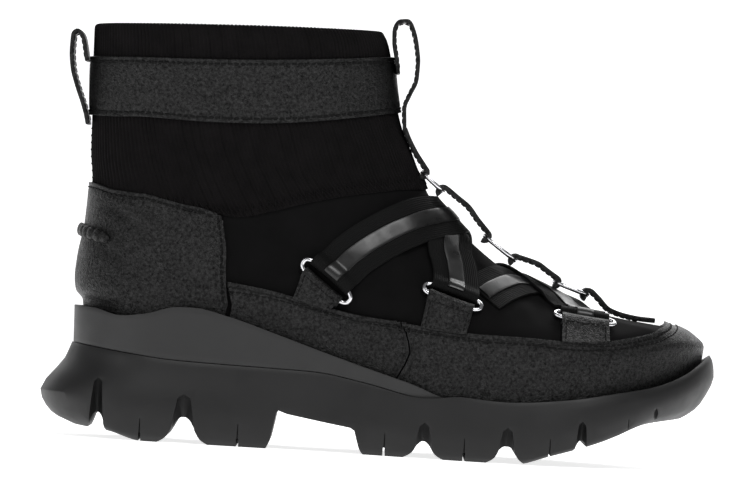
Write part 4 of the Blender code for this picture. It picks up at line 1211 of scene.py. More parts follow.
def make_seams(upper, leather, looks):
    """The zigzag round the knit's lower edge, and the ladder up the back seam."""
    by_turn = smooth(seam_points())
    turns = np.linspace(0.18, 1.82, 60)
    seam = edge([(turn, float(by_turn(turn))) for turn in turns])
    knit_seam = zigzag("knit_seam", seam, upper.zigzags, 3.4 * MM, leather.thread, upper.lap + 0.15 * MM)
    settle(knit_seam, "shaft_knit", looks["seam"])
    low = level_on(back_line, 1, up(0.385))
    high = level_on(back_line, 1, up(0.600))
    ladder = edge([(0.0, low + (high - low) * t) for t in np.linspace(0, 1, 12)])
    rungs = []
    t = (np.arange(upper.rungs) + 0.5) / upper.rungs
    turn, level = ladder(t)
    _, _, by_turn_step, _ = skin_frame(turn, level)
    reach = 3.6 * MM / np.linalg.norm(by_turn_step, axis=-1)
    for k in range(upper.rungs):
        places = np.linspace(-reach[k], reach[k], 7)
        rung = guide("rung", off_skin(places, np.full(7, level[k]), 0.1 * MM))
        rung.data.bevel_depth = leather.thread * 0.6
        rung.data.bevel_resolution = 1
        choose(rung)
        bpy.ops.object.convert(target="MESH")
        rungs.append(named(f"rung_{k}"))
    settle(join("back_seam", rungs), "shaft_knit", looks["seam"])


def seat_row(from_edge, inset, width=0.8, depth=0.45 * MM):
    """The shallow trough that a row of stitches lies in."""
    return -depth * dip(from_edge, inset, width)


def lay_leather(name, panel, relief, leather, looks, *nodes):
    """A leather panel on the skin, its edges rounded."""
    sheet = grid(name, panel.lifted(leather.lay + relief), closed=nodes[0] == "collar_band")
    edit(sheet, face_out)
    thicken(sheet, LEATHER, 1)
    round_edges(sheet, leather.edge_round, segments=2, angle=55)
    return settle(sheet, "black_leather", looks["leather"], *nodes)


def stitch_on(name, line, lift, leather, looks, slot="black_leather", closed=False):
    """A row of stitches along turns and levels of the skin."""
    points = off_skin(np.asarray(line[0]), np.asarray(line[1]), lift)
    row = sew(points, leather.pitch, leather.stitch, leather.thread)
    row = join(name, [row])
    return settle(row, slot, looks["thread"])


def make_collar_band(leather, looks):
    foot, top = shaft_edge(BAND_FOOT), shaft_edge(BAND_TOP)
    panel = Panel(foot, top, np.linspace(0, 1, 241)[:-1], crowded(26, 0.6))
    inset = leather.inset / MM
    wave = 0.12 * MM * np.sin(panel.turn * 37.0 + 3.0 * np.sin(panel.turn * 11.0)) * ramp(panel.from_foot, 3, 8)
    wave = wave * ramp(panel.from_top, 3, 8)
    relief = seat_row(panel.from_foot, inset) + seat_row(panel.from_top, inset) + wave
    lay_leather("collar_band_leather", panel, relief, leather, looks, "collar_band")
    shares = np.linspace(0, 1, 361)
    lift = leather.lay + LEATHER - 0.15 * MM
    high = inside_edge(foot, top, shares, leather.inset)
    low = inside_edge(top, foot, shares, leather.inset)
    stitch_on("band_stitches_high", high, lift, leather, looks)
    stitch_on("band_stitches_low", low, lift, leather, looks)


# Wrinkles in the heel counter: share of the length and of the rise at both ends, and the depth
WRINKLES = [
    # share, rise, share, rise, depth
    (0.090, 0.330, 0.215, 0.060, 0.9 * MM),
    (0.130, 0.345, 0.240, 0.150, 0.75 * MM),
    (0.085, 0.180, 0.165, 0.010, 0.6 * MM),
    (0.180, 0.330, 0.250, 0.240, 0.5 * MM),
    (0.160, 0.120, 0.235, 0.030, 0.5 * MM),
]


def counter_edges():
    top = [(0.0, level_on(back_line, 1, up(COUNTER_TOP[0][1])))]
    top += [find(along(s), up(k), -1) for s, k in COUNTER_TOP[1:]]
    foot = [(0.0, 0.0)] + [find(along(s), 0.0, -1) for s, _ in COUNTER_FOOT[1:]]
    return edge(both_sides(foot)), edge(both_sides(top))


def make_heel_counter(leather, looks):
    foot, top = counter_edges()
    panel = Panel(foot, top, crowded(150, 0.5), crowded(56, 0.5))
    inset = leather.inset / MM
    relief = seat_row(panel.from_top, inset)
    relief = relief + seat_row(panel.from_start, inset) + seat_row(panel.from_end, inset)
    for share_a, rise_a, share_b, rise_b, depth in WRINKLES:
        ax, az, bx, bz = along(share_a), up(rise_a), along(share_b), up(rise_b)
        run, rise = bx - ax, bz - az
        length = math.hypot(run, rise)
        dx, dz = panel.point[..., 0] - ax, panel.point[..., 2] - az
        t = (dx * run + dz * rise) / length ** 2
        off = (dx * rise - dz * run) / length + 3.0 * MM * np.sin(math.pi * np.clip(t, 0, 1))
        fade = ramp(t, -0.1, 0.3) * ramp(-t, -1.1, -0.7)
        relief += fade * depth * (0.6 * dip(off, 3.6 * MM, 2.4 * MM) - dip(off, 0, 2.4 * MM))
    lay_leather("heel_counter_leather", panel, relief, leather, looks, "heel_counter")
    shares = np.linspace(0, 1, 241)
    lift = leather.lay + LEATHER - 0.15 * MM
    high = inside_edge(foot, top, shares[8:-8], leather.inset)
    stitch_on("counter_stitches_top", high, lift, leather, looks)
    for label, t in (("outer", 1.0), ("inner", 0.0)):
        s = np.linspace(0.12, 0.97, 60)
        foot_turn, foot_level = foot(np.array(t))
        top_turn, top_level = top(np.array(t))
        level = foot_level + (top_level - foot_level) * s
        turn = foot_turn + (top_turn - foot_turn) * s
        _, _, by_turn, _ = skin_frame(turn, level)
        back = leather.inset / np.linalg.norm(by_turn, axis=-1)
        turn = turn - math.copysign(1, float(foot_turn)) * back
        stitch_on(f"counter_stitches_{label}", (turn, level), lift, leather, looks)


def make_heel_whip(leather, looks):
    """The padded roll across the back of the counter, whipped over with thick thread."""
    path = [(0.0, level_on(back_line, 1, up(0.240))), find(along(0.070), up(0.228), -1), find(along(0.098), up(0.214), -1)]
    route = edge(both_sides(path))
    t = np.linspace(0, 1, 150)
    turn, level = route(t)
    point, normal, by_turn, by_level = skin_frame(turn, level)
    upwards = unit(by_level)
    far = lengths(point)
    swell = 0.72 + 0.28 * np.abs(np.sin(math.pi * far / leather.bead))
    swell = swell * np.sqrt(np.clip(ramp(far, -1 * MM, 5 * MM) * ramp(far[-1] - far, -1 * MM, 5 * MM), 0.02, 1))
    lift = leather.lay + LEATHER
    rings = []
    for angle in np.linspace(0, 2 * math.pi, 17)[:-1]:
        high = np.sin(angle) * WHIP_HEIGHT / 2 * swell
        out = lift + (WHIP_THICKNESS / 2 + 0.3 * MM) * (1 + np.cos(angle) * swell) - 0.2 * MM
        rings.append(point + normal * out[:, None] + upwards * high[:, None])
    roll = grid("heel_whip_roll", np.array(rings), looped=True)
    edit(roll, lambda: bpy.ops.mesh.select_all(action="DESELECT"), lambda: bpy.ops.mesh.select_mode(type="EDGE"),
         lambda: bpy.ops.mesh.select_non_manifold(), lambda: bpy.ops.mesh.fill(),
         lambda: bpy.ops.mesh.select_all(action="SELECT"), face_out)
    settle(roll, "black_leather", looks["leather"], "heel_whip", angle=70)


def guard_edges():
    top = [find(along(s), up(k), -1) for s, k in GUARD_TOP[:-1]]
    toe = (1.0, level_on(front_line, 1, up(GUARD_TOP[-1][1])))
    seam_top = find(along(GUARD_SEAM_TOP), up(GUARD_TOP[3][1]), -1)
    seam_foot = find(along(GUARD_SEAM_FOOT), 0.0, -1)
    heel_foot = find(along(0.276), 0.0, -1)
    step = (GAP + 0.05 * MM) / SOLE_LENGTH
    behind_top = [place for place in top if place[0] < seam_top[0] - 0.01] + [(seam_top[0] - step, seam_top[1])]
    behind_foot = [(heel_foot[0] + (seam_foot[0] - step - heel_foot[0]) * i / 3, 0.0) for i in range(4)]
    ahead_top = [seam_top] + [place for place in top if place[0] > seam_top[0] + 0.01] + [toe]
    ahead_foot = [(seam_foot[0] + (1.0 - seam_foot[0]) * i / 6, 0.0) for i in range(7)]
    round_foot = ahead_foot + [mirror_turn(place) for place in ahead_foot[:-1]][::-1]
    round_top = ahead_top + [mirror_turn(place) for place in ahead_top[:-1]][::-1]
    inner_foot = [mirror_turn(place) for place in behind_foot][::-1]
    inner_top = [mirror_turn(place) for place in behind_top][::-1]
    return (
        ("toe_guard", edge(round_foot), edge(round_top), 320, 2),
        ("side_guard_outer", edge(behind_foot), edge(behind_top), 90, -1),
        ("side_guard_inner", edge(inner_foot), edge(inner_top), 90, 1),
    )


def make_guards(leather, looks):
    """The mudguard round the foot: a thin raised edge, with two rows of stitches under it."""
    first = leather.inset / MM
    second = first + leather.between / MM
    lift = leather.lay + LEATHER - 0.15 * MM
    for name, foot, top, columns, kind in guard_edges():
        heights = 1 - (1 - np.linspace(0, 1, 44)) ** 1.0
        near_top = np.array([0.0, 0.4, 0.8, 1.2, 1.6, 2.0, 2.4, 2.8, 3.2, 3.8, 4.4, 5.0, 5.6, 6.4]) * MM
        foot_turn, foot_level = foot(0.5)
        top_turn, top_level = top(0.5)
        tall = np.linalg.norm(skin(top_turn, top_level) - skin(foot_turn, foot_level))
        high = 1 - near_top / tall
        low = np.linspace(0, high[-1], 22)[:-1]
        heights = np.concatenate([low, high[::-1]])
        panel = Panel(foot, top, crowded(columns, 0.5), heights)
        relief = leather.raised * ramp(-panel.from_top, -1.4, -0.9)
        relief = relief + seat_row(panel.from_top, first) + seat_row(panel.from_top, second)
        seam = panel.from_end if kind == -1 else panel.from_start if kind == 1 else np.minimum(panel.from_start, panel.from_end)
        relief = relief + seat_row(seam, 1.8)
        lay_leather(f"{name}_leather", panel, relief, leather, looks, name)
        shares = np.linspace(0, 1, 2 * columns)
        for number, inset in enumerate((leather.inset, leather.inset + leather.between), 1):
            stitch_on(f"{name}_stitches_{number}", inside_edge(foot, top, shares, inset), lift, leather, looks)


class BootUpper(bpy.types.PropertyGroup):
    """Fineness of the upper, and the knit's ribs and seams"""

    columns: IntProperty(name="Columns", description="Points round the upper", default=260, min=48, max=600)
    rows: IntProperty(name="Rows", description="Points up the upper", default=60, min=12, max=200)
    knit_columns: IntProperty(name="Knit columns", description="Points round the shaft", default=1000, min=100, max=2000)
    knit_rows: IntProperty(name="Knit rows", description="Points up the shaft", default=24, min=6, max=60)
    ribs: IntProperty(name="Ribs", description="Ribs round the shaft", default=190, min=10, max=400)
    rib_depth: FloatProperty(
        name="Rib depth", description="Height of a rib over its groove", default=0.55 * MM, min=0, max=0.003, unit="LENGTH"
    )
    lap: FloatProperty(name="Lap", description="How far the knit's foot stands over the upper", default=0.9 * MM, min=0, max=0.005, unit="LENGTH")
    zigzags: IntProperty(name="Zigzags", description="Zigzags along the knit's lower edge", default=85, min=4, max=400)
    rungs: IntProperty(name="Rungs", description="Stitches across the back seam", default=9, min=2, max=60)


class BootLeather(bpy.types.PropertyGroup):
    """Edges and stitching of the leather"""

    lay: FloatProperty(name="Lay", description="Gap under a panel", default=0.25 * MM, min=0, max=0.002, unit="LENGTH")
    edge_round: FloatProperty(name="Edge", description="Radius of cut edges", default=0.4 * MM, min=0, max=0.002, unit="LENGTH")
    inset: FloatProperty(name="Inset", description="First stitch row to the edge", default=2.0 * MM, min=0, max=0.01, unit="LENGTH")
    between: FloatProperty(name="Between", description="Between two rows", default=2.2 * MM, min=0, max=0.01, unit="LENGTH")
    raised: FloatProperty(name="Raised edge", description="Height of the guard's edge", default=0.5 * MM, min=0, max=0.003, unit="LENGTH")
    pitch: FloatProperty(name="Pitch", description="From stitch to stitch", default=2.7 * MM, min=0.0005, max=0.01, unit="LENGTH")
    stitch: FloatProperty(name="Stitch", description="Length of a stitch", default=2.2 * MM, min=0.0004, max=0.01, unit="LENGTH")
    thread: FloatProperty(name="Thread", description="Thickness of the thread", default=0.8 * MM, min=0.0001, max=0.003, unit="LENGTH")
    bead: FloatProperty(name="Bead", description="Length of a bead of the roll", default=4.2 * MM, min=0.001, max=0.02, unit="LENGTH")


def tangent_frame(turn, level, slope):
    """The skin's point and normal, and the directions along and across a slope seen from the side."""
    point, normal, _, _ = skin_frame(turn, level)
    seen = np.array([math.cos(slope), 0, math.sin(slope)])
    ahead = unit(seen - normal * dot(seen, normal))
    upwards = np.cross(normal, ahead)
    return point, normal, ahead, upwards * math.copysign(1, upwards[2])


def oval(centre, ahead, upwards, length, height, count=48):
    """Points round an oval with straight long sides."""
    angle = 2 * math.pi * np.arange(count) / count
    c, s = np.cos(angle), np.sin(angle)
    x = np.sign(c) * np.abs(c) ** 0.62 * length / 2
    y = np.sign(s) * np.abs(s) ** 0.75 * height / 2
    return centre + ahead * x[:, None] + upwards * y[:, None]


class Ring:
    """A side ring: where it lies and which way it faces."""

    def __init__(self, index, side):
        share, height, slope = SIDE_RINGS[index]
        self.place = find(along(share), up(height), side)
        point, self.normal, self.ahead, self.upwards = tangent_frame(*self.place, math.radians(slope))
        self.centre = point + self.normal * (RING_WIRE / 2 + 4 * GAP)
        self.index = index
        self.side = side

    def bar(self, reach, upper):
        """Points along the middle of the ring's upper or lower bar."""
        out = (RING_HEIGHT - RING_WIRE) / 2 * (1 if upper else -1)
        droop = 1 - 0.25 * (np.abs(reach) / (RING_LENGTH / 2)) ** 3
        return self.centre + self.ahead * reach[:, None] + self.upwards * (out * droop)[:, None]


def wire_ring(name, points, finish, *nodes):
    """A ring of wire through these points: a torus drawn out to their oval."""
    start(name)
    count = len(points)
    bpy.ops.mesh.primitive_torus_add(major_segments=count, minor_segments=12, major_radius=0.01, minor_radius=RING_WIRE / 2)
    ring = named(name)
    co = np.empty(len(ring.data.vertices) * 3)
    ring.data.vertices.foreach_get("co", co)
    co = co.reshape(-1, 3)
    around = np.arctan2(co[:, 1], co[:, 0]) % (2 * math.pi)
    index = np.round(around / (2 * math.pi) * count).astype(int) % count
    out = np.hypot(co[:, 0], co[:, 1]) - 0.01
    middle = points.mean(axis=0)
    ahead = unit(np.roll(points, -1, axis=0) - np.roll(points, 1, axis=0))
    facing = unit(np.cross(points[0] - middle, points[count // 4] - middle))
    sideways = np.cross(ahead, facing)
    set_points(ring, points[index] + sideways[index] * out[:, None] + facing * co[:, 2:3])
    edit(ring, face_out)
    return settle(ring, "dark_metal", finish, *nodes, angle=60)


def make_side_rings(looks):
    for number in (1, 2, 3):
        for side, label in ((-1, "outer"), (1, "inner")):
            ring = Ring(number - 1, side)
            points = oval(ring.centre, ring.ahead, ring.upwards, RING_REACH - RING_WIRE, RING_HEIGHT - RING_WIRE)
            wire_ring(f"ring_{number}_{label}", points, looks["metal"], f"side_ring_{number}_{label}")


def smooth_rows(rows, count):
    """A sheet drawn smoothly through rows of points, with this many rows."""
    rows = np.asarray(rows)
    gaps = np.linalg.norm(np.diff(rows, axis=0), axis=-1).mean(axis=1)
    far = np.concatenate([[0.0], np.cumsum(gaps)])
    at = np.linspace(0, far[-1], count)
    return np.stack([[curve_at(far, rows[:, j, k], at) for k in range(3)] for j in range(rows.shape[1])]).transpose(2, 0, 1)


def strip(name, points, thickness, edge_round, slot, finish, *nodes, offset=0.0):
    """A strap through points[row, across], its edges rounded."""
    sheet = grid(name, points)
    edit(sheet, face_out)
    thicken(sheet, thickness, offset, even=False)
    round_edges(sheet, edge_round, segments=2, angle=55)
    return settle(sheet, slot, finish, *nodes)


def make_ring_tabs(leather, looks):
    """Tabs from the guard's top edge up to the rings' lower bars, folded over them."""
    guard = smooth([(a, b) for a, b in GUARD_TOP if a is not None])
    reach = np.linspace(-0.5, 0.5, 13) * TAB_WIDTH
    radius = RING_WIRE / 2 + TAB_SKIN / 2
    for number in (1, 2, 3):
        share, height, slope = SIDE_RINGS[number - 1]
        angle = math.radians(slope)
        for side, label in ((-1, "outer"), (1, "inner")):
            ring = Ring(number - 1, side)
            bar = ring.bar(reach, False)
            foot = []
            for j, b in enumerate(bar):
                foot_x = b[0] - (1.5 - 0.5 * number) * 4 * MM
                foot_z = up(float(guard(share_of(foot_x)))) + GAP - 1.2 * MM
                foot.append(find(foot_x, foot_z, side))
            foot = np.array(foot)
            low = off_skin(foot[:, 0], foot[:, 1], leather.lay + LEATHER + 0.5 * TAB_SKIN)
            lip = off_skin(foot[:, 0], foot[:, 1], leather.lay + 0.6 * TAB_SKIN)
            n, u = ring.normal, ring.upwards
            rows = [low, low * 0.75 + (bar + n * radius) * 0.25, low * 0.4 + (bar + n * radius) * 0.6 + n * 0.1 * MM,
                    bar + n * radius - u * 0.8 * MM]
            for turned in (0, 30, 60, 90, 120, 150, 180):
                a = math.radians(turned)
                rows.append(bar + n * radius * math.cos(a) + u * radius * math.sin(a))
            rows.append(bar - n * (radius + 0.2 * MM) - u * 3 * MM)
            points = smooth_rows(rows, 44)
            tab = strip(f"tab_{number}_{label}", points, TAB_SKIN, 0.35 * MM, "black_leather", looks["leather"],
                        f"ring_tab_{number}_{label}")
            rim = np.concatenate([points[2:20, 1], points[20:21, 1:12].reshape(-1, 3), points[2:20, 11][::-1]])
            out = n * (TAB_SKIN / 2 - 0.05 * MM)
            row = sew(rim + out, leather.pitch * 0.8, leather.stitch * 0.8, leather.thread * 0.9)
            settle(join(f"tab_stitches_{number}_{label}", [row]), "black_leather", looks["thread"])


def strap_stations(path, count):
    """Turn and level along a strap, evenly spaced, and how far along each lies."""
    route = edge(path)
    t = np.linspace(0, 1, count)
    turn, level = route(t)
    point = skin(turn, level)
    return t, turn, level, lengths(point)


def lay_elastic(name, path, first, last, lift, straps, leather, looks, node, folded):
    """A crossed strap from the upper bar of one ring to the upper bar of another. It is folded round the last one, and
    round the first one too unless another strap's end covers its own there."""
    t, turn, level, far = strap_stations(path, straps.rows)
    point, normal, _, _ = skin_frame(turn, level)
    ahead = unit(np.gradient(point, axis=0))
    sideways = unit(np.cross(normal, ahead))
    at_first = first.ahead * math.copysign(1, float(dot(first.ahead, sideways[0])))
    at_last = last.ahead * math.copysign(1, float(dot(last.ahead, sideways[-1])))
    blend = straps.blend
    near_first = (1 - ramp(far, 0, blend))[:, None] * folded
    near_last = (1 - ramp(far[-1] - far, 0, blend))[:, None]
    across = unit(sideways * (1 - near_first) * (1 - near_last) + at_first * near_first + at_last * near_last)
    reach = np.linspace(-0.5, 0.5, straps.across) * STRAP_WIDTH
    sides = []
    for r in reach:
        side_turn, side_level = walk(turn, level, across * math.copysign(1, r), np.full(turn.shape, abs(r)))
        sides.append(off_skin(side_turn, side_level, lift(t) + ELASTIC / 2))
    body = np.stack(sides, axis=1)
    radius = RING_WIRE / 2 + ELASTIC / 2

    def fold(ring, sign):
        bar = ring.bar(reach * sign, True)
        n, u = ring.normal, ring.upwards
        rows = [bar - n * (radius + 0.1 * MM) + u * 4 * MM]
        for turned in (180, 150, 120, 90, 60, 30, 0):
            a = math.radians(turned)
            rows.append(bar + n * radius * math.cos(a) - u * radius * math.sin(a))
        rows.append(bar + n * (radius + 0.05 * MM) + u * 1.5 * MM)
        return rows

    def clear(ring):
        """How many rows of the strap lie too near this ring's bar to keep."""
        height = dot(body[:, straps.across // 2] - ring.centre, ring.upwards) - RING_HEIGHT / 2
        near = np.linalg.norm(body[:, straps.across // 2] - ring.centre, axis=-1) < 20 * MM
        return int(np.sum(near & (height < 4.5 * MM)))

    sign_first = math.copysign(1, float(dot(first.ahead, at_first)))
    sign_last = math.copysign(1, float(dot(last.ahead, at_last)))
    skip_first, skip_last = clear(first) * folded, clear(last)
    kept = body[skip_first:len(body) - skip_last]
    rows = (fold(first, sign_first) if folded else []) + list(kept) + fold(last, sign_last)[::-1]
    points = smooth_rows(rows, straps.rows + 40)
    piece = strip(name, points, ELASTIC, 0.25 * MM, "black_elastic", looks["elastic"], node)
    middle = len(reach) // 2
    wide = GLOSS_WIDTH / STRAP_WIDTH
    pick = (np.linspace(-0.5, 0.5, 7) * wide + 0.5) * (len(reach) - 1)
    low = np.floor(pick).astype(int)
    part = (pick - low)[None, :, None]
    centre = points[:, low] * (1 - part) + points[:, np.minimum(low + 1, len(reach) - 1)] * part
    step_along = np.gradient(centre, axis=0)
    step_across = np.gradient(centre, axis=1)
    out = unit(np.cross(step_across, step_along))
    middle_row = len(points) // 2
    toward = skin_frame(np.array(turn[len(turn) // 2]), np.array(level[len(level) // 2]))[1]
    out = out * math.copysign(1, float(dot(out[middle_row, 3], toward)))
    keep = slice(9 if folded else 2, len(points) - 9)
    crown = 0.15 * MM * (1 - np.linspace(-1, 1, 7) ** 2)[None, :, None]
    gloss = centre[keep] + out[keep] * (ELASTIC / 2 + 0.25 * MM + crown)
    strip(f"{name}_stripe", gloss, 0.6 * MM, 0.2 * MM, "black_leather", looks["gloss"])
    return points, out


def above_ring(index, side, clear):
    """Turn and level this far above the upper bar of a side ring, where a strap comes down to it."""
    share, height, slope = SIDE_RINGS[index]
    turn, level = find(along(share), up(height), side)
    upwards = tangent_frame(turn, level, math.radians(slope))[3]
    turn, level = walk(turn, level, upwards, RING_HEIGHT / 2 + clear)
    return float(turn), float(level)


def make_cross_straps(straps, leather, looks):
    rear = [(0.452, 0.205), (0.483, 0.260), (0.524, 0.313), (0.560, 0.343)]
    rear_far = [(0.592, 0.262), (0.600, 0.185)]
    rear_top = (1.0, level_on(front_line, 0, along(0.590)))
    fore_start = (along(0.662), 0.235 * SOLE_WIDTH)

    def rear_path(side):
        begin = [above_ring(0, side, 1 * GAP)] + [find(along(s), up(k), side) for s, k in rear]
        end = above_ring(1, -side, 1 * GAP)
        path = begin + [rear_top] + [find(along(s), up(k), -side) for s, k in rear_far] + [end]
        return path, Ring(0, side), Ring(1, -side)

    def fore_path(side):
        last = above_ring(2, -side, 1 * GAP)
        end = skin(*last)
        reach = side * (end[1] - toe_line(share_of(end[0])) * SOLE_WIDTH)
        places = []
        for i in range(-1, 8):
            x = fore_start[0] + (end[0] - fore_start[0]) * i / 8
            y = fore_start[1] + (reach - fore_start[1]) * i / 8
            places.append(find_above(x, abs(y), side if y > 0 else -side))
        return places + [last], Ring(1, side), Ring(2, -side)

    base, over = straps.base, straps.base + straps.over
    end = base + straps.stacked
    rear_under = smooth([(0.0, base), (0.66, base), (0.82, end), (1.0, end)])
    rear_over = smooth([(0.0, base), (0.22, base), (0.36, over), (0.66, over), (0.90, end), (1.0, end)])
    fore_over = smooth([(0.0, base), (0.20, base), (0.34, over), (0.74, over), (0.88, base), (1.0, base)])
    runs = [
        ("elastic_rear_outer", rear_path(-1), rear_over, "rear_strap_outer"),
        ("elastic_rear_inner", rear_path(1), rear_under, "rear_strap_inner"),
        ("elastic_fore_outer", fore_path(-1), smooth([(0.0, base), (1.0, base)]), "fore_strap_outer"),
        ("elastic_fore_inner", fore_path(1), fore_over, "fore_strap_inner"),
    ]
    for name, (path, first, last), lift, node in runs:
        lay_elastic(name, path, first, last, lift, straps, leather, looks, node, "rear" in name)


TAB_SKIN = 1.5 * MM
RING_REACH = 27.3 * MM
GLOSS_WIDTH = 7 * MM


def ridge(share, lift):
    """A point over the instep's centre line, this far off the skin, as x and z."""
    level = level_on(front_line, 0, along(share))
    point = off_skin(np.array(1.0), np.array(level), lift)
    return np.array([point[0], point[2]])


def middle_at(x):
    """Y of the instep's centre line at x."""
    return float(skin(np.array(1.0), np.array(level_on(front_line, 0, x)))[1])


def centre_ring_ends():
    """Both ends of each centre ring's wire, as x and z."""
    radius = RING_WIRE / 2
    over = STRAP_OVER + ELASTIC + 2 * GAP + radius
    ends = []
    for number, (first, last) in enumerate(CENTRE_RINGS):
        ends.append((ridge(first, over if number else radius + 2 * GAP), ridge(last, over)))
    return ends


def make_centre_rings(looks):
    for number, (back, front) in enumerate(centre_ring_ends(), 1):
        middle = (back + front) / 2
        slope = unit(front - back)
        centre = np.array([middle[0], middle_at(middle[0]), middle[1]])
        points = oval(centre, np.array([slope[0], 0, slope[1]]), np.array([0, 1.0, 0]), np.linalg.norm(front - back),
                      CENTRE_RING_WIDTH - RING_WIRE)
        wire_ring(f"ring_centre_{number}", points, looks["metal"], f"centre_ring_{number}")


def across_strip(line, width, count):
    """Rows of points across a line of x and z, centred on the instep's centre line."""
    line = np.asarray(line)
    middle = np.array([middle_at(x) for x in line[:, 0]])
    reach = np.linspace(0.5, -0.5, count) * width
    x = np.broadcast_to(line[:, :1], (len(line), count))
    z = np.broadcast_to(line[:, 1:], (len(line), count))
    return np.stack([x, middle[:, None] + reach[None, :], z], axis=-1)


def curl(end, toward, out, radius, first, last):
    """Points round a ring's bar in x and z, from one angle to another, 0 being outwards and 90 into the ring."""
    angles = np.radians(np.linspace(first, last, 7))
    return [end + out * radius * math.cos(a) + toward * radius * math.sin(a) for a in angles]


def edge_rows(name, points, thickness, inset, leather, looks, slot="black_leather", trim=1):
    """A row of stitches near both long edges of a strip, on its outer face."""
    step_along = np.gradient(points, axis=0)
    step_across = np.gradient(points, axis=1)
    out = unit(np.cross(step_along, step_across))
    middle = points.shape[1] // 2
    far = np.linalg.norm(points[0, 0] - points[0, -1])
    part = inset / far * (points.shape[1] - 1)
    rows = []
    for place in (part, points.shape[1] - 1 - part):
        low = int(math.floor(place))
        share = place - low
        line = points[:, low] * (1 - share) + points[:, low + 1] * share
        line = line + out[:, middle] * (thickness / 2 - 0.05 * MM)
        rows.append(sew(line[trim:-trim], leather.pitch, leather.stitch, leather.thread))
    return settle(join(name, rows), slot, looks["thread"])


def make_centre_straps(leather, looks):
    """Four lengths of leather down the instep, folded round the centre rings."""
    radius = RING_WIRE / 2 + CENTRE_SKIN / 2
    rings = centre_ring_ends()
    half = CENTRE_SKIN / 2
    low = 0.3 * MM + half
    high = STRAP_OVER + ELASTIC + 2 * GAP + RING_WIRE + half

    def fold(end, other, flip):
        toward = unit(other - end)
        out = np.array([-toward[1], toward[0]]) * flip
        out = out * math.copysign(1, out[1])
        return curl(end, toward, out, radius, 180, 0)

    runs = []
    top = [ridge(0.5130, low), ridge(0.5200, low), ridge(0.5300, low + 0.4 * MM)]
    runs.append(top + fold(rings[0][0], rings[0][1], 1)[::-1])
    for first, last, shares in ((0, 1, (0.5800, 0.5960, 0.6130)), (1, 2, (0.6960, 0.7130, 0.7300))):
        arch = [ridge(s, high + (1.7 * MM if k == 1 else 0.9 * MM)) for k, s in enumerate(shares)]
        begin = fold(rings[first][1], rings[first][0], 1)
        end = fold(rings[last][0], rings[last][1], 1)[::-1]
        runs.append(begin + arch + end)
    begin = fold(rings[2][1], rings[2][0], 1)
    foot = [ridge(0.8140, high - 1.8 * MM), ridge(0.8350, low + 1.2 * MM), ridge(0.8600, low + 0.2 * MM)]
    foot += [ridge(0.8850, low), ridge(0.9060, low + 0.4 * MM)]
    runs.append(begin + foot)
    for number, run in enumerate(runs, 1):
        rows = across_strip(run, CENTRE_WIDTH, 9)
        points = smooth_rows(rows, 60)
        strip(f"centre_leather_{number}", points, CENTRE_SKIN, 0.35 * MM, "black_leather", looks["leather"],
              f"centre_strap_{number}")
        edge_rows(f"centre_stitches_{number}", points[10:-10] if number > 1 else points[:-14], CENTRE_SKIN, 1.7 * MM,
                  leather, looks)


CENTRE_SKIN = 2.1 * MM


def collar_path(line, rows, outwards):
    """A loop's path from rows of height share and distance out from the skin's back or front line."""
    path = []
    for k, out in rows:
        level = level_on(line, 1, up(k))
        path.append(np.array([float(line(level)[0]) + outwards * out, up(k)]))
    return path


def make_pull_loops(leather, looks):
    on_band = leather.lay + LEATHER + LOOP_LEATHER / 2
    on_knit = GAP + LOOP_LEATHER / 2
    heel = [
        (0.815, on_band), (0.865, on_band + 1.0 * MM), (0.905, on_band + 2.4 * MM), (0.918, on_band + 4.4 * MM),
        (0.905, on_band + 6.2 * MM), (0.850, on_band + 6.6 * MM), (0.790, on_band + 6.0 * MM),
        (0.730, on_band + 4.0 * MM), (0.670, on_band + 1.4 * MM), (0.632, on_band), (0.600, on_knit + 0.6 * MM),
    ]
    front = [(0.835, on_band), (0.895, on_band), (0.945, on_band + 0.6 * MM), (0.980, on_band + 3.0 * MM)]
    front_path = collar_path(front_line, front, 1)
    top = front_path[-1]
    front_path += [top + np.array(step) * MM for step in ((2.0, 4.2), (5.4, 4.6), (8.2, 0.6), (10.0, -6.0))]
    down = [
        (0.875, on_band + 9.0 * MM), (0.820, on_band + 7.6 * MM), (0.770, on_band + 4.2 * MM),
        (0.720, on_band + 0.8 * MM), (0.680, on_knit + 1.2 * MM), (0.650, on_knit + 0.2 * MM),
    ]
    front_path += collar_path(front_line, down, 1)
    for name, path, node in (("heel", collar_path(back_line, heel, -1), "heel_pull_loop"), ("front", front_path, "front_pull_loop")):
        path = np.array(path)
        reach = np.linspace(0.5, -0.5, 13) * LOOP_WIDTH
        rows = np.stack([np.broadcast_to(path[:, :1], (len(path), 13)), np.broadcast_to(reach, (len(path), 13)),
                         np.broadcast_to(path[:, 1:], (len(path), 13))], axis=-1)
        points = smooth_rows(rows, 70)
        strip(f"{name}_loop", points, LOOP_LEATHER, 0.4 * MM, "black_leather", looks["leather"], node)
        facing = points if name == "front" else points[:, ::-1]
        for face, thick in (("out", LOOP_LEATHER), ):
            edge_rows(f"{name}_loop_stitches", facing, thick, 2.0 * MM, leather, looks, trim=2)


class BootStraps(bpy.types.PropertyGroup):
    """The crossed elastic straps"""

    rows: IntProperty(name="Rows", description="Points along a strap", default=110, min=20, max=400)
    across: IntProperty(name="Across", description="Points across a strap", default=15, min=5, max=60)
    blend: FloatProperty(name="Blend", description="How far from a ring a strap turns to lie along it", default=24 * MM, min=0.001, max=0.1, unit="LENGTH")
    base: FloatProperty(name="Base", description="Gap under a strap", default=0.5 * MM, min=0, max=0.01, unit="LENGTH")
    stacked: FloatProperty(name="Stacked", description="How much higher an end lies that covers another", default=1.3 * MM, min=0, max=0.01, unit="LENGTH")
    over: FloatProperty(name="Over", description="How much higher a strap crosses over another", default=1.5 * MM, min=0, max=0.01, unit="LENGTH")


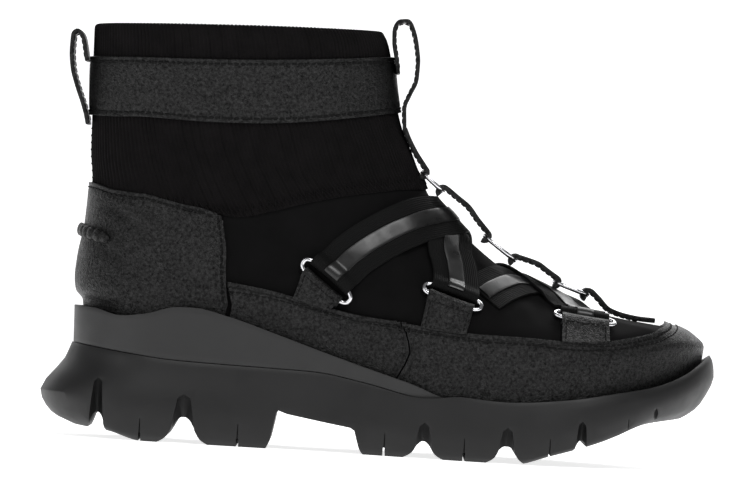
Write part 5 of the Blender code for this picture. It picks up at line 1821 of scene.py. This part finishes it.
class BootStage(bpy.types.PropertyGroup):
    """Camera, lights and floor"""

    distance: FloatProperty(name="Distance", description="Camera to the shoe's side", default=3.0, min=0.3, max=10, unit="LENGTH")
    roll: FloatProperty(name="Roll", description="Turn of the picture", default=math.radians(3.4574), min=-1, max=1, unit="ROTATION")
    key: FloatProperty(name="Key light", description="Power of the key light", default=15.0, min=0, max=500)
    fill: FloatProperty(name="Fill light", description="Power of the fill light", default=4.0, min=0, max=500)
    back: FloatProperty(name="Back light", description="Power of the light from behind", default=12.0, min=0, max=500)
    world: FloatProperty(name="World", description="Strength of the surroundings", default=0.16, min=0, max=10)
    glow: FloatProperty(name="Glow", description="Light that the backdrop itself gives", default=0.78, min=0, max=10)


# Middle of the picture in X and Z, its width in the shoe's side plane, and that plane's place
PICTURE_MIDDLE = (-4.7 * MM, 89.9 * MM)
PICTURE_WIDTH = 315.8 * MM
SIDE_PLANE = -20 * MM
SENSOR = 36.0


def make_camera(stage):
    start("camera")
    bpy.ops.object.camera_add()
    camera = named("photo_camera")
    right = Vector((math.cos(stage.roll), 0, math.sin(stage.roll)))
    upwards = Vector((-math.sin(stage.roll), 0, math.cos(stage.roll)))
    back = right.cross(upwards)
    turned = Matrix((right, upwards, back)).transposed().to_4x4()
    turned.translation = Vector((PICTURE_MIDDLE[0], SIDE_PLANE - stage.distance, PICTURE_MIDDLE[1]))
    camera.matrix_world = turned
    camera.data.sensor_width = SENSOR
    camera.data.lens = SENSOR * stage.distance / PICTURE_WIDTH
    camera.data.clip_start = 0.05
    camera.data.clip_end = 20
    bpy.context.scene.camera = camera


def add_light(name, place, aim, size, power):
    start(name)
    bpy.ops.object.light_add(type="AREA", location=place)
    light = named(name)
    light.data.shape = "RECTANGLE"
    light.data.size, light.data.size_y = size
    light.data.energy = power
    light.rotation_euler = (Vector(aim) - Vector(place)).to_track_quat("-Z", "Y").to_euler()
    return light


def make_stage(stage):
    make_camera(stage)
    start("backdrop")
    bpy.ops.mesh.primitive_grid_add(x_subdivisions=1, y_subdivisions=28, size=2)
    sheet = named("backdrop")
    rows = [(-6.0, 0.0), (-2.0, 0.0), (-1.0, 0.0)] + [(0.1 * k, 0.0) for k in range(-5, 7)]
    for k in range(1, 13):
        angle = math.radians(7.5 * k)
        rows.append((4.0 + 1.2 * math.sin(angle), 1.2 - 1.2 * math.cos(angle)))
    rows += [(5.2, 2.5), (5.2, 5.0)]
    set_points(sheet, np.array([(x, y, z) for y, z in rows for x in (-6.0, 6.0)]))
    edit(sheet, face_out)
    choose(sheet)
    bpy.ops.object.shade_smooth()
    paper = Nodes("scene_paper", (0.90, 0.90, 0.905), 0.9)
    paper.set(paper.shader, {"Specular IOR Level": 0.1, "Emission Color": (1.0, 1.0, 1.0, 1.0),
                             "Emission Strength": stage.glow})
    paper.tones(paper.noise(0.004, 2.0), (0.89, 0.89, 0.895), (0.91, 0.91, 0.915))
    sheet.data.materials.append(paper.material)
    add_light("key_light", (0.35, -1.1, 1.25), (0, 0, 0.07), (1.0, 0.7), stage.key)
    add_light("fill_light", (-1.1, -0.9, 0.55), (0, 0, 0.07), (0.9, 0.9), stage.fill)
    add_light("back_light", (0.2, 0.9, 1.1), (0, 0, 0.09), (1.4, 0.5), stage.back)
    world = bpy.data.worlds.new("scene_world")
    bpy.context.scene.world = world
    world.use_nodes = True
    ground = world.node_tree.nodes["Background"]
    ground.inputs["Color"].default_value = (0.93, 0.93, 0.94, 1.0)
    ground.inputs["Strength"].default_value = stage.world
    bpy.context.scene.view_settings.view_transform = "Standard"


class BootSettings(bpy.types.PropertyGroup):
    """Settings of the whole boot"""

    colours: PointerProperty(type=BootColours, name="Colours", description="Base colours")
    sole: PointerProperty(type=BootSole, name="Sole", description="Sole")
    upper: PointerProperty(type=BootUpper, name="Upper", description="Upper and shaft")
    leather: PointerProperty(type=BootLeather, name="Leather", description="Leather and stitches")
    straps: PointerProperty(type=BootStraps, name="Straps", description="Crossed elastic straps")
    stage: PointerProperty(type=BootStage, name="Stage", description="Camera, lights and floor")


def settings():
    return bpy.context.scene.boot


def looks_now():
    """The finishes by their short names, made on first use."""
    found = {m.name[6:]: m for m in bpy.data.materials if m.name.startswith("scene_")}
    if "leather" not in found:
        return make_looks(settings().colours)
    found["gloss"] = found["gloss_leather"]
    return found


class BOOT_OT_sole(bpy.types.Operator):
    """Models the outsole with its lugs, the midsole and the insole"""

    bl_idname = "boot.sole"
    bl_label = "Sole"

    def execute(self, context):
        make_outsole(settings().sole, looks_now())
        make_midsole(settings().sole, looks_now())
        make_insole(settings().sole, looks_now())
        return {"FINISHED"}


class BOOT_OT_upper(bpy.types.Operator):
    """Models the stretch upper and the knitted shaft with their seams"""

    bl_idname = "boot.upper"
    bl_label = "Upper and shaft"

    def execute(self, context):
        make_upper(settings().upper, looks_now())
        make_shaft(settings().upper, looks_now())
        make_seams(settings().upper, settings().leather, looks_now())
        return {"FINISHED"}


class BOOT_OT_leather(bpy.types.Operator):
    """Models the collar band, the heel counter with its roll, and the guards"""

    bl_idname = "boot.leather"
    bl_label = "Leather panels"

    def execute(self, context):
        make_collar_band(settings().leather, looks_now())
        make_heel_counter(settings().leather, looks_now())
        make_heel_whip(settings().leather, looks_now())
        make_guards(settings().leather, looks_now())
        return {"FINISHED"}


class BOOT_OT_rings(bpy.types.Operator):
    """Models the side rings, their tabs and the centre rings"""

    bl_idname = "boot.rings"
    bl_label = "Rings and tabs"

    def execute(self, context):
        make_side_rings(looks_now())
        make_ring_tabs(settings().leather, looks_now())
        make_centre_rings(looks_now())
        return {"FINISHED"}


class BOOT_OT_straps(bpy.types.Operator):
    """Models the crossed elastic straps and the centre strap"""

    bl_idname = "boot.straps"
    bl_label = "Straps"

    def execute(self, context):
        make_cross_straps(settings().straps, settings().leather, looks_now())
        make_centre_straps(settings().leather, looks_now())
        return {"FINISHED"}


class BOOT_OT_loops(bpy.types.Operator):
    """Models the pull loops at the front and at the back of the collar"""

    bl_idname = "boot.loops"
    bl_label = "Pull loops"

    def execute(self, context):
        make_pull_loops(settings().leather, looks_now())
        return {"FINISHED"}


class BOOT_OT_stage(bpy.types.Operator):
    """Sets the camera, the lights and the floor"""

    bl_idname = "boot.stage"
    bl_label = "Stage"

    def execute(self, context):
        make_stage(settings().stage)
        return {"FINISHED"}


OPERATORS = [
    BOOT_OT_sole, BOOT_OT_upper, BOOT_OT_leather, BOOT_OT_rings, BOOT_OT_straps, BOOT_OT_loops, BOOT_OT_stage,
]


class BOOT_PT_panel(bpy.types.Panel):
    """Buttons for each group of pieces"""

    bl_idname = "BOOT_PT_panel"
    bl_label = "Boot"
    bl_space_type = "VIEW_3D"
    bl_region_type = "UI"
    bl_category = "Boot"

    def draw(self, context):
        for operator in OPERATORS:
            self.layout.operator(operator.bl_idname)


GROUPS = [BootColours, BootSole, BootUpper, BootLeather, BootStraps, BootStage, BootSettings]


def register():
    for kind in GROUPS + OPERATORS + [BOOT_PT_panel]:
        bpy.utils.register_class(kind)
    bpy.types.Scene.boot = PointerProperty(type=BootSettings)


def unregister():
    del bpy.types.Scene.boot
    for kind in reversed(GROUPS + OPERATORS + [BOOT_PT_panel]):
        bpy.utils.unregister_class(kind)


def main():
    register()
    bpy.ops.boot.sole()
    bpy.ops.boot.upper()
    bpy.ops.boot.leather()
    bpy.ops.boot.rings()
    bpy.ops.boot.straps()
    bpy.ops.boot.loops()
    bpy.ops.boot.stage()


if __name__ == "__main__":
    main()
